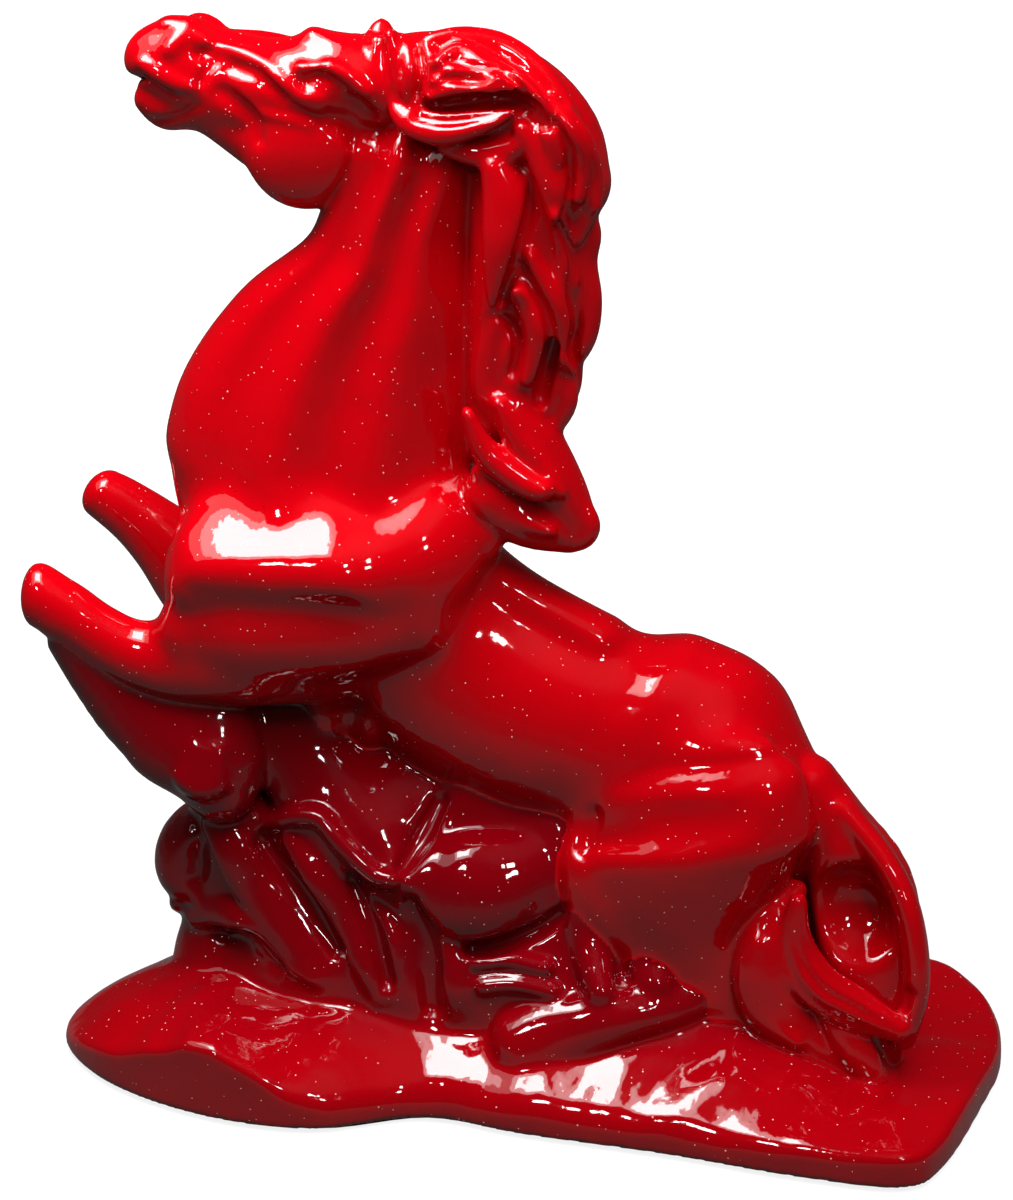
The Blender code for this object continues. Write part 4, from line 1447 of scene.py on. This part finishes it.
class Wire:
    """A socket in a node tree, so that shader maths reads as Python."""

    def __init__(self, tree: bpy.types.NodeTree, socket: bpy.types.NodeSocket) -> None:
        """Wraps a socket.

        Args:
            tree: The node tree.
            socket: The output socket.
        """
        self.tree = tree
        self.socket = socket

    def maths(self, operation: str, first: "Wire | float", second: "Wire | float") -> "Wire":
        """Adds one Math node.

        Args:
            operation: What it works out.
            first: A wire or a number.
            second: Another.

        Returns:
            Its result.
        """
        node = self.tree.nodes.new("ShaderNodeMath")
        node.operation = operation
        for place, value in zip(node.inputs, (first, second)):
            if isinstance(value, Wire):
                self.tree.links.new(value.socket, place)
            else:
                place.default_value = value
        return Wire(self.tree, node.outputs[0])

    def __add__(self, other: "Wire | float") -> "Wire":
        """The sum."""
        return self.maths("ADD", self, other)

    def __radd__(self, other: float) -> "Wire":
        """The sum, with the number first."""
        return self.maths("ADD", other, self)

    def __sub__(self, other: "Wire | float") -> "Wire":
        """The difference."""
        return self.maths("SUBTRACT", self, other)

    def __rsub__(self, other: float) -> "Wire":
        """The difference, with the number first."""
        return self.maths("SUBTRACT", other, self)

    def __mul__(self, other: "Wire | float") -> "Wire":
        """The product."""
        return self.maths("MULTIPLY", self, other)

    def __rmul__(self, other: float) -> "Wire":
        """The product, with the number first."""
        return self.maths("MULTIPLY", other, self)

    def __lt__(self, other: "Wire | float") -> "Wire":
        """1 where the value is less than the other, and 0 elsewhere."""
        return self.maths("LESS_THAN", self, other)

    def __gt__(self, other: "Wire | float") -> "Wire":
        """1 where the value is greater than the other, and 0 elsewhere."""
        return self.maths("GREATER_THAN", self, other)


class Bench:
    """The node tree of one material or of the world, with its one way of adding nodes."""

    def __init__(self, tree: bpy.types.NodeTree) -> None:
        """Clears a tree.

        Args:
            tree: The node tree.
        """
        self.tree = tree
        tree.nodes.clear()

    def node(
        self, kind: str, settings: dict[str, object] | None = None, *ordered: object, **inputs: object
    ) -> bpy.types.Node:
        """Adds a node.

        Args:
            kind: The node's type, without its leading ShaderNode.
            settings: Its properties, which are set first.
            *ordered: Values or links of its first sockets that are in use.
            **inputs: Values or links of its sockets, with underscores for the spaces in their names.

        Returns:
            The node.
        """
        made = self.tree.nodes.new(f"ShaderNode{kind}")
        for name, value in (settings or {}).items():
            setattr(made, name, value)
        sockets = [socket for socket in made.inputs if socket.enabled]
        named = {socket.name.replace(" ", "_"): socket for socket in reversed(sockets)}
        for socket, value in [*zip(sockets, ordered), *((named[name], inputs[name]) for name in inputs)]:
            if isinstance(value, Wire):
                self.tree.links.new(value.socket, socket)
            else:
                socket.default_value = value
        return made

    def wire(self, node: bpy.types.Node, output: str | int = 0) -> Wire:
        """A node's output, wrapped."""
        return Wire(self.tree, node.outputs[output])

    def place(self) -> Wire:
        """The object's own coordinates, in metres."""
        return self.wire(self.node("TexCoord"), "Object")

    def noise(self, place: Wire, scale: float, detail: float, roughness: float = 0.5) -> Wire:
        """Noise from 0 to 1."""
        made = self.node("TexNoise", Vector=place, Scale=scale, Detail=detail, Roughness=roughness)
        return self.wire(made, "Fac")

    def span(
        self, value: Wire, low: tuple[float, float], high: tuple[float, float], kind: str = "LINEAR"
    ) -> Wire:
        """Carries a value from one range to another, and holds it at the ends.

        Args:
            value: The value.
            low: Where the range starts, before and after.
            high: Where it ends, before and after.
            kind: How it runs between the two.

        Returns:
            The new value.
        """
        ends = {"From_Min": low[0], "From_Max": high[0], "To_Min": low[1], "To_Max": high[1]}
        return self.wire(self.node("MapRange", {"interpolation_type": kind}, Value=value, **ends))

    def vector(self, operation: str, *vectors: object) -> Wire:
        """The number that one Vector Math node gives."""
        return self.wire(self.node("VectorMath", {"operation": operation}, *vectors), "Value")

    def blend(self, factor: Wire, first: object, second: object) -> Wire:
        """Mixes two colours.

        Args:
            factor: The share of the second.
            first: A colour or a wire.
            second: A colour or a wire.

        Returns:
            The mixed colour.
        """
        node = self.node("Mix", {"data_type": "RGBA"}, factor, first, second)
        return Wire(self.tree, [s for s in node.outputs if s.enabled][0])


@dataclass(frozen=True)
class Finish:
    """What a surface is made of. Each kind says how its shader is put together."""

    def shade(self, bench: Bench, place: Wire) -> bpy.types.Node:
        """Puts the finish's shader together.

        Args:
            bench: The node tree.
            place: The object's own coordinates.

        Returns:
            The shader.
        """
        raise NotImplementedError

    def dress(self, name: str) -> bpy.types.Material:
        """Makes the material.

        Args:
            name: Its name.

        Returns:
            The material.
        """
        made = bpy.data.materials.new(name)
        made.use_nodes = True
        bench = Bench(made.node_tree)
        bench.node("OutputMaterial", Surface=bench.wire(self.shade(bench, bench.place())))
        return made


@dataclass(frozen=True)
class Lacquer(Finish):
    """Glossy red lacquer, with fine bright flecks, and painted light that turns its colour with height.

    Attributes:
        red: The lacquer's colour.
        deep: Its colour where the coat is thick.
        fleck: The colour of a fleck.
        painted_light_top: The colour that it turns to with height, as painted light.
        rise: The heights between which the painted light turns it: lighter up the horse, darker up the rocks.
        roughness: Roughness of the gloss.
    """

    red: Colour = (0.45, 0.0, 0.003, 1.0)
    deep: Colour = (0.37, 0.0, 0.003, 1.0)
    fleck: Colour = (0.95, 0.55, 0.5, 1.0)
    painted_light_top: Colour = (0.6, 0.0, 0.004, 1.0)
    rise: tuple[float, float] = (45.0, 125.0)
    roughness: float = 0.02

    def shade(self, bench: Bench, place: Wire) -> bpy.types.Node:
        """Mixes the colours and flecks, and lays a slow wave and a fine one on the gloss.

        A cell of the fleck pattern shows its fleck where the distance from the cell's middle is below a size
        that the cell's green gives, and only if its red is past a limit.

        Args:
            bench: The node tree.
            place: The object's own coordinates.

        Returns:
            The shader.
        """
        cloud = bench.noise(place, 38.0, 4.0, 0.55)
        # Painted light: the colour turns with height, lighter up the horse and darker up the rocks under its
        # belly.
        height = bench.wire(bench.node("SeparateXYZ", Vector=place), "Z")
        low, high = (level * MM for level in self.rise)
        turn = bench.span(height + 0.012 * cloud, (low, 0.0), (high, 1.0))
        colour = bench.blend(turn, bench.blend(cloud, self.red, self.deep), self.painted_light_top)
        dots = bench.node("TexVoronoi", {"feature": "F1"}, Vector=place, Scale=760.0, Randomness=1.0)
        parts = bench.node("SeparateColor", Color=bench.wire(dots, "Color"))
        size = 0.04 + 0.08 * bench.wire(parts, "Green")
        fleck = (bench.wire(dots, "Distance") < size) * (bench.wire(parts, "Red") > 0.4)
        wave = bench.noise(place, 80.0, 1.0) + 0.15 * bench.noise(place, 260.0, 2.0)
        bump = bench.node("Bump", Strength=0.5, Distance=0.001, Height=wave)
        return bench.node(
            "BsdfPrincipled",
            Base_Color=bench.blend(fleck, colour, self.fleck),
            Roughness=self.roughness + 0.06 * cloud,
            IOR=1.75,
            Normal=bench.wire(bump),
        )


@dataclass(frozen=True)
class Felt(Finish):
    """Matted wool felt.

    Attributes:
        colour: The wool's colour.
        shadow: The colour of the hollows between the fibres.
    """

    colour: Colour = (0.055, 0.006, 0.008, 1.0)
    shadow: Colour = (0.02, 0.003, 0.004, 1.0)

    def shade(self, bench: Bench, place: Wire) -> bpy.types.Node:
        """Noise for the fibres, in the colour and as a bump.

        Args:
            bench: The node tree.
            place: The object's own coordinates.

        Returns:
            The shader.
        """
        fibre = bench.noise(place, 900.0, 6.0, 0.7)
        bump = bench.node("Bump", Strength=0.6, Distance=0.0006, Height=fibre)
        return bench.node(
            "BsdfPrincipled",
            Base_Color=bench.blend(fibre, self.shadow, self.colour),
            Roughness=0.95,
            Normal=bench.wire(bump),
            Sheen_Weight=0.4,
        )


@dataclass(frozen=True)
class Steel(Finish):
    """Drawn steel rod, with fine marks.

    Attributes:
        colour: The metal's colour.
    """

    colour: Colour = (0.56, 0.57, 0.58, 1.0)

    def shade(self, bench: Bench, place: Wire) -> bpy.types.Node:
        """Noise for the marks, in the roughness and as a bump.

        Args:
            bench: The node tree.
            place: The object's own coordinates.

        Returns:
            The shader.
        """
        marks = bench.noise(place, 1400.0, 3.0)
        bump = bench.node("Bump", Strength=0.2, Distance=0.0001, Height=marks)
        return bench.node(
            "BsdfPrincipled",
            Base_Color=self.colour,
            Metallic=1.0,
            Roughness=0.25 + 0.2 * marks,
            Normal=bench.wire(bump),
        )


@dataclass(frozen=True)
class PaleFloor(Finish):
    """A floor that is white to the camera, keeps the object's shadow, and is dim in reflections.

    Attributes:
        pale: The floor's colour as the camera sees it.
        dark: Its colour for the light that it throws back.
        share: How much of it glows for the camera.
    """

    pale: Colour = (0.8, 0.8, 0.8, 1.0)
    dark: Colour = (0.02, 0.02, 0.02, 1.0)
    share: float = 0.8

    def shade(self, bench: Bench, place: Wire) -> bpy.types.Node:
        """Mixes a matt floor with a glow that depends on the kind of ray and the distance from the middle.

        Args:
            bench: The node tree.
            place: The object's own coordinates.

        Returns:
            The shader.
        """
        path = bench.node("LightPath")
        seen = bench.wire(path, "Is Camera Ray") + bench.wire(path, "Is Transmission Ray")
        away = bench.vector("LENGTH", place)
        glow = bench.node("Emission", Color=WHITE, Strength=bench.span(away, (0.1, 1.08), (0.4, 1.35)))
        dark, pale = (bench.wire(bench.node("BsdfDiffuse", Color=tone)) for tone in (self.dark, self.pale))
        matt = bench.node("MixShader", None, seen, dark, pale)
        mirrored = bench.wire(path, "Is Glossy Ray") * bench.span(away, (0.09, 0.09), (0.3, 0.008))
        return bench.node("MixShader", None, seen * self.share + mirrored, bench.wire(matt), bench.wire(glow))


def placed(name: str, data: bpy.types.ID) -> bpy.types.Object:
    """A new object of the scene, at the origin."""
    made = bpy.data.objects.new(name, data)
    bpy.context.scene.collection.objects.link(made)
    return made


@dataclass
class Sole:
    """The felt sole under the base.

    Attributes:
        outline: The base's outline.
        inset: How far the felt stops short of the outline.
        thickness: The felt's thickness.
        around: Points round it.
    """

    outline: Outline
    inset: float = 3.0
    thickness: float = 1.0
    around: int = 6

    def build(self, finish: bpy.types.Material) -> bpy.types.Object:
        """Cuts the felt: rings of the outline, drawn in towards the middle, over the top and the underside.

        The rings run from a point in the middle of the underside, out along it, round the rounded edge, and
        back along the top to its middle. Each ring is the outline times a share, and two points close the
        ends.

        Args:
            finish: The felt's material.

        Returns:
            The piece.
        """
        ring = self.outline.ring(self.inset, self.around)
        turn = np.linspace(-90, 90, 7) * math.pi / 180
        edge = self.thickness / 2
        reach = np.linalg.norm(ring, axis=1).mean()
        inner = [0.25, 0.5, 0.75, 0.9]
        shares = np.concatenate([inner, 1 - edge * (1 - np.cos(turn)) / reach, inner[::-1]])
        heights = np.concatenate([[0.0] * 4, edge + edge * np.sin(turn), [self.thickness] * 4])
        count, rows = len(ring), len(shares)
        levels = np.broadcast_to(heights[:, None, None], (rows, count, 1))
        places = np.concatenate([shares[:, None, None] * ring[None], levels], axis=2)
        index = np.arange(rows * count).reshape(rows, count)
        after = np.roll(index, -1, axis=1)
        quads = np.stack([index[:-1], after[:-1], after[1:], index[1:]], axis=2).reshape(-1, 4)
        ends = np.array([[0.0, 0.0, 0.0], [0.0, 0.0, self.thickness]])
        low = np.column_stack([np.full(count, rows * count), after[0], index[0]])
        top = np.column_stack([np.full(count, rows * count + 1), index[-1], after[-1]])
        mesh = bpy.data.meshes.new("felt_pad")
        points = np.vstack([places.reshape(-1, 3), ends]) * MM
        mesh.from_pydata(points.tolist(), [], quads.tolist() + low.tolist() + top.tolist())
        mesh.materials.append(finish)
        mesh.shade_smooth()
        pad = placed("felt_pad", mesh)
        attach(pad, "root")
        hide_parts("felt_sole")
        LOG.info("felt_pad: %d faces", len(mesh.polygons))
        return pad


@dataclass
class Figurine:
    """The whole figurine: its castings, modelled in one block of clay and skinned together.

    Attributes:
        pitch: The grid's spacing.
        castings: The castings, in the order in which they are joined.
    """

    pitch: float
    castings: list[Casting]

    def build(
        self, finishes: dict[str, bpy.types.Material], usual: bpy.types.Material
    ) -> list[bpy.types.Object]:
        """Models, fuses, skins and dresses the castings.

        Args:
            finishes: The lacquer of some nodes: the rocks' darker red, which is painted shade.
            usual: The lacquer of all the others.

        Returns:
            The pieces.
        """
        clay = Clay(BLOCK_LOW, BLOCK_HIGH, self.pitch)
        solid = np.full(clay.counts(), FAR, dtype=np.float32)
        best, second = solid.copy(), solid.copy()
        owner = np.zeros(solid.shape, dtype=np.int8)
        for number, casting in enumerate(self.castings, 1):
            window, block = casting.model(clay)
            solid[window] = blended(solid[window], block, casting.weld)
            nearer = block < best[window]
            second[window] = np.where(nearer, best[window], np.minimum(second[window], block))
            best[window] = np.where(nearer, block, best[window])
            owner[window] = np.where(nearer, number, owner[window])
            LOG.info("%s: modelled", casting.node)
        solid = softened(solid, 1)
        owner = np.where(solid < 0, owner, 0).astype(np.int8)
        skin = Skin(clay, solid, owner, second - best)
        return [
            self.piece(skin, casting.node, number, finishes.get(casting.node, usual))
            for number, casting in enumerate(self.castings, 1)
        ]

    def piece(self, skin: Skin, node: str, number: int, finish: bpy.types.Material) -> bpy.types.Object:
        """Makes one casting's piece.

        Args:
            skin: The skin.
            node: The node that it stands for.
            number: The casting's number.
            finish: The lacquer.

        Returns:
            The piece.
        """
        mesh = skin.mesh(f"glazed_{node}", number)
        mesh.materials.append(finish)
        piece = placed(f"glazed_{node}", mesh)
        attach(piece, "root")
        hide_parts(node)
        LOG.info("%s: %d faces", piece.name, len(mesh.polygons))
        return piece


@dataclass
class Lamp:
    """A soft rectangular studio lamp.

    Attributes:
        name: Its name.
        place: Where it hangs.
        aim: The point that it faces.
        size: Its width and height.
        glow: The brightness of its face.
    """

    name: str
    place: tuple[float, float, float]
    aim: tuple[float, float, float]
    size: tuple[float, float]
    glow: float

    def hang(self) -> None:
        """Hangs the lamp: its power is pi times the brightness of its face times its area."""
        data = bpy.data.lights.new(self.name, "AREA")
        data.shape = "RECTANGLE"
        data.size, data.size_y = (s * MM for s in self.size)
        data.energy = math.pi * self.glow * data.size * data.size_y
        made = placed(self.name, data)
        back = np.array(self.place) - np.array(self.aim)
        back = back / np.linalg.norm(back)
        right = np.cross([0.0, 1.0, 0.0] if abs(back[2]) > 0.95 else [0.0, 0.0, 1.0], back)
        right /= np.linalg.norm(right)
        made.matrix_world = turned(right, np.cross(back, right), back, np.array(self.place))


def turned(right: np.ndarray, up: np.ndarray, back: np.ndarray, place: np.ndarray) -> list[list[float]]:
    """A camera's or a lamp's matrix, from its axes and its place in millimetres, as Blender takes it."""
    matrix = np.eye(4)
    matrix[:3] = np.column_stack([right, up, back, place * MM])
    return [list(map(float, column)) for column in matrix.T]


@dataclass
class Studio:
    """The floor, the lamps, the surroundings and the camera.

    Attributes:
        floor: Half the floor's size.
        key: The direction that most of the soft light comes from.
        back: The direction that the rest of it comes from.
        lamps: The lamps.
    """

    floor: float = 3000.0
    key: tuple[float, float, float] = (0.22, -0.28, 0.934)
    back: tuple[float, float, float] = (-0.3, 0.9, 0.32)
    lamps: list[Lamp] = field(
        default_factory=lambda: [
            Lamp("overhead", (-150, -75, 420), (-60, -40, 100), (130, 165), 9.0),
            Lamp("overhead_halo", (-150, -75, 421), (-60, -40, 100), (205, 245), 2.4),
            Lamp("overhead_sheet", (-230, -60, 440), (-60, -40, 100), (330, 330), 0.8),
            Lamp("front_upper", (420, -620, 760), (0, 0, 90), (90, 110), 24.0),
            Lamp("front_left", (-290, -650, 690), (0, 0, 90), (90, 120), 22.0),
            Lamp("front_lower", (520, -700, 560), (0, 0, 90), (80, 90), 20.0),
        ]
    )

    def build(self) -> None:
        """Sets the scene up."""
        for lamp in self.lamps:
            lamp.hang()
        self.surroundings()
        self.ground()
        self.camera()
        bpy.context.scene.view_settings.view_transform = "Standard"

    def surroundings(self) -> None:
        """A white backdrop for the camera, which is dim in reflections and lights the object from two sides.

        Each side's light falls off with the angle from its direction, by the dot product of the two.
        """
        world = bpy.data.worlds.new("backdrop")
        bpy.context.scene.world = world
        world.use_nodes = True
        bench = Bench(world.node_tree)
        path = bench.node("LightPath")
        seen = bench.wire(path, "Is Camera Ray") + bench.wire(path, "Is Transmission Ray")
        glossy = bench.wire(path, "Is Glossy Ray")
        way = bench.wire(bench.node("TexCoord"), "Generated")
        band = bench.span(bench.wire(bench.node("SeparateXYZ", Vector=way), "Z"), (0.0, 0.02), (0.4, 0.008))
        fill = bench.span(bench.vector("DOT_PRODUCT", way, self.key), (0.86, 0.003), (1.0, 8.0), "SMOOTHSTEP")
        rear = bench.span(bench.vector("DOT_PRODUCT", way, self.back), (0.4, 0.0), (1.0, 0.7), "SMOOTHSTEP")
        strength = seen + glossy * band + (1 - seen - glossy) * (fill + rear)
        glow = bench.node("Background", Color=WHITE, Strength=strength)
        bench.node("OutputWorld", Surface=bench.wire(glow))

    def ground(self) -> None:
        """A pale floor, which keeps the figurine's shadow."""
        far = self.floor * MM
        corners = [(-far, -far, 0.0), (far, -far, 0.0), (far, far, 0.0), (-far, far, 0.0)]
        mesh = bpy.data.meshes.new("studio_floor")
        mesh.from_pydata(corners, [], [(0, 1, 2, 3)])
        mesh.materials.append(PaleFloor().dress("pale_floor"))
        placed("studio_floor", mesh)

    def camera(self) -> None:
        """The camera, where the photograph's stood."""
        data = bpy.data.cameras.new("photo_camera")
        data.sensor_width = SENSOR
        data.lens = VIEW.focal / VIEW.height * SENSOR
        made = placed("photo_camera", data)
        made.matrix_world = turned(*VIEW.axes(), VIEW.eye())
        bpy.context.scene.camera = made


def dress_dowels(finish: bpy.types.Material) -> None:
    """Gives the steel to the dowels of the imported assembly.

    Args:
        finish: The steel.
    """
    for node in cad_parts:
        if node.endswith("_dowel"):
            dowel = bpy.data.objects[node]
            dowel.data.materials.clear()
            dowel.data.materials.append(finish)
            LOG.info("%s: steel", node)


def main() -> None:
    """Builds the figurine and the studio."""
    logging.basicConfig(level=logging.INFO, format="%(message)s")
    ground = Ground()
    parts = [Body(), Head(), Limbs(), Mane(), Tail(), ground]
    castings = [casting for part in parts for casting in part.castings()]
    # Painted light: the horse's red turns lighter towards its top.
    horse = Lacquer().dress("red_lacquer_gloss")
    # Painted shade: the rocks and the spur get a darker red, darker still higher up, for the shade under the
    # horse.
    rocks = Lacquer(
        red=(0.36, 0.0, 0.003, 1.0),
        deep=(0.30, 0.0, 0.003, 1.0),
        painted_light_top=(0.19, 0.0, 0.003, 1.0),
        rise=(18.0, 32.0),
    ).dress("rock_lacquer_gloss")
    finishes = {"rock_base": rocks, "fore_spur": rocks}
    Figurine(PITCH, castings).build(finishes, horse)
    Sole(ground.outline).build(Felt().dress("matted_felt"))
    dress_dowels(Steel().dress("turned_steel"))
    Studio().build()


if __name__ == "__main__":
    main()
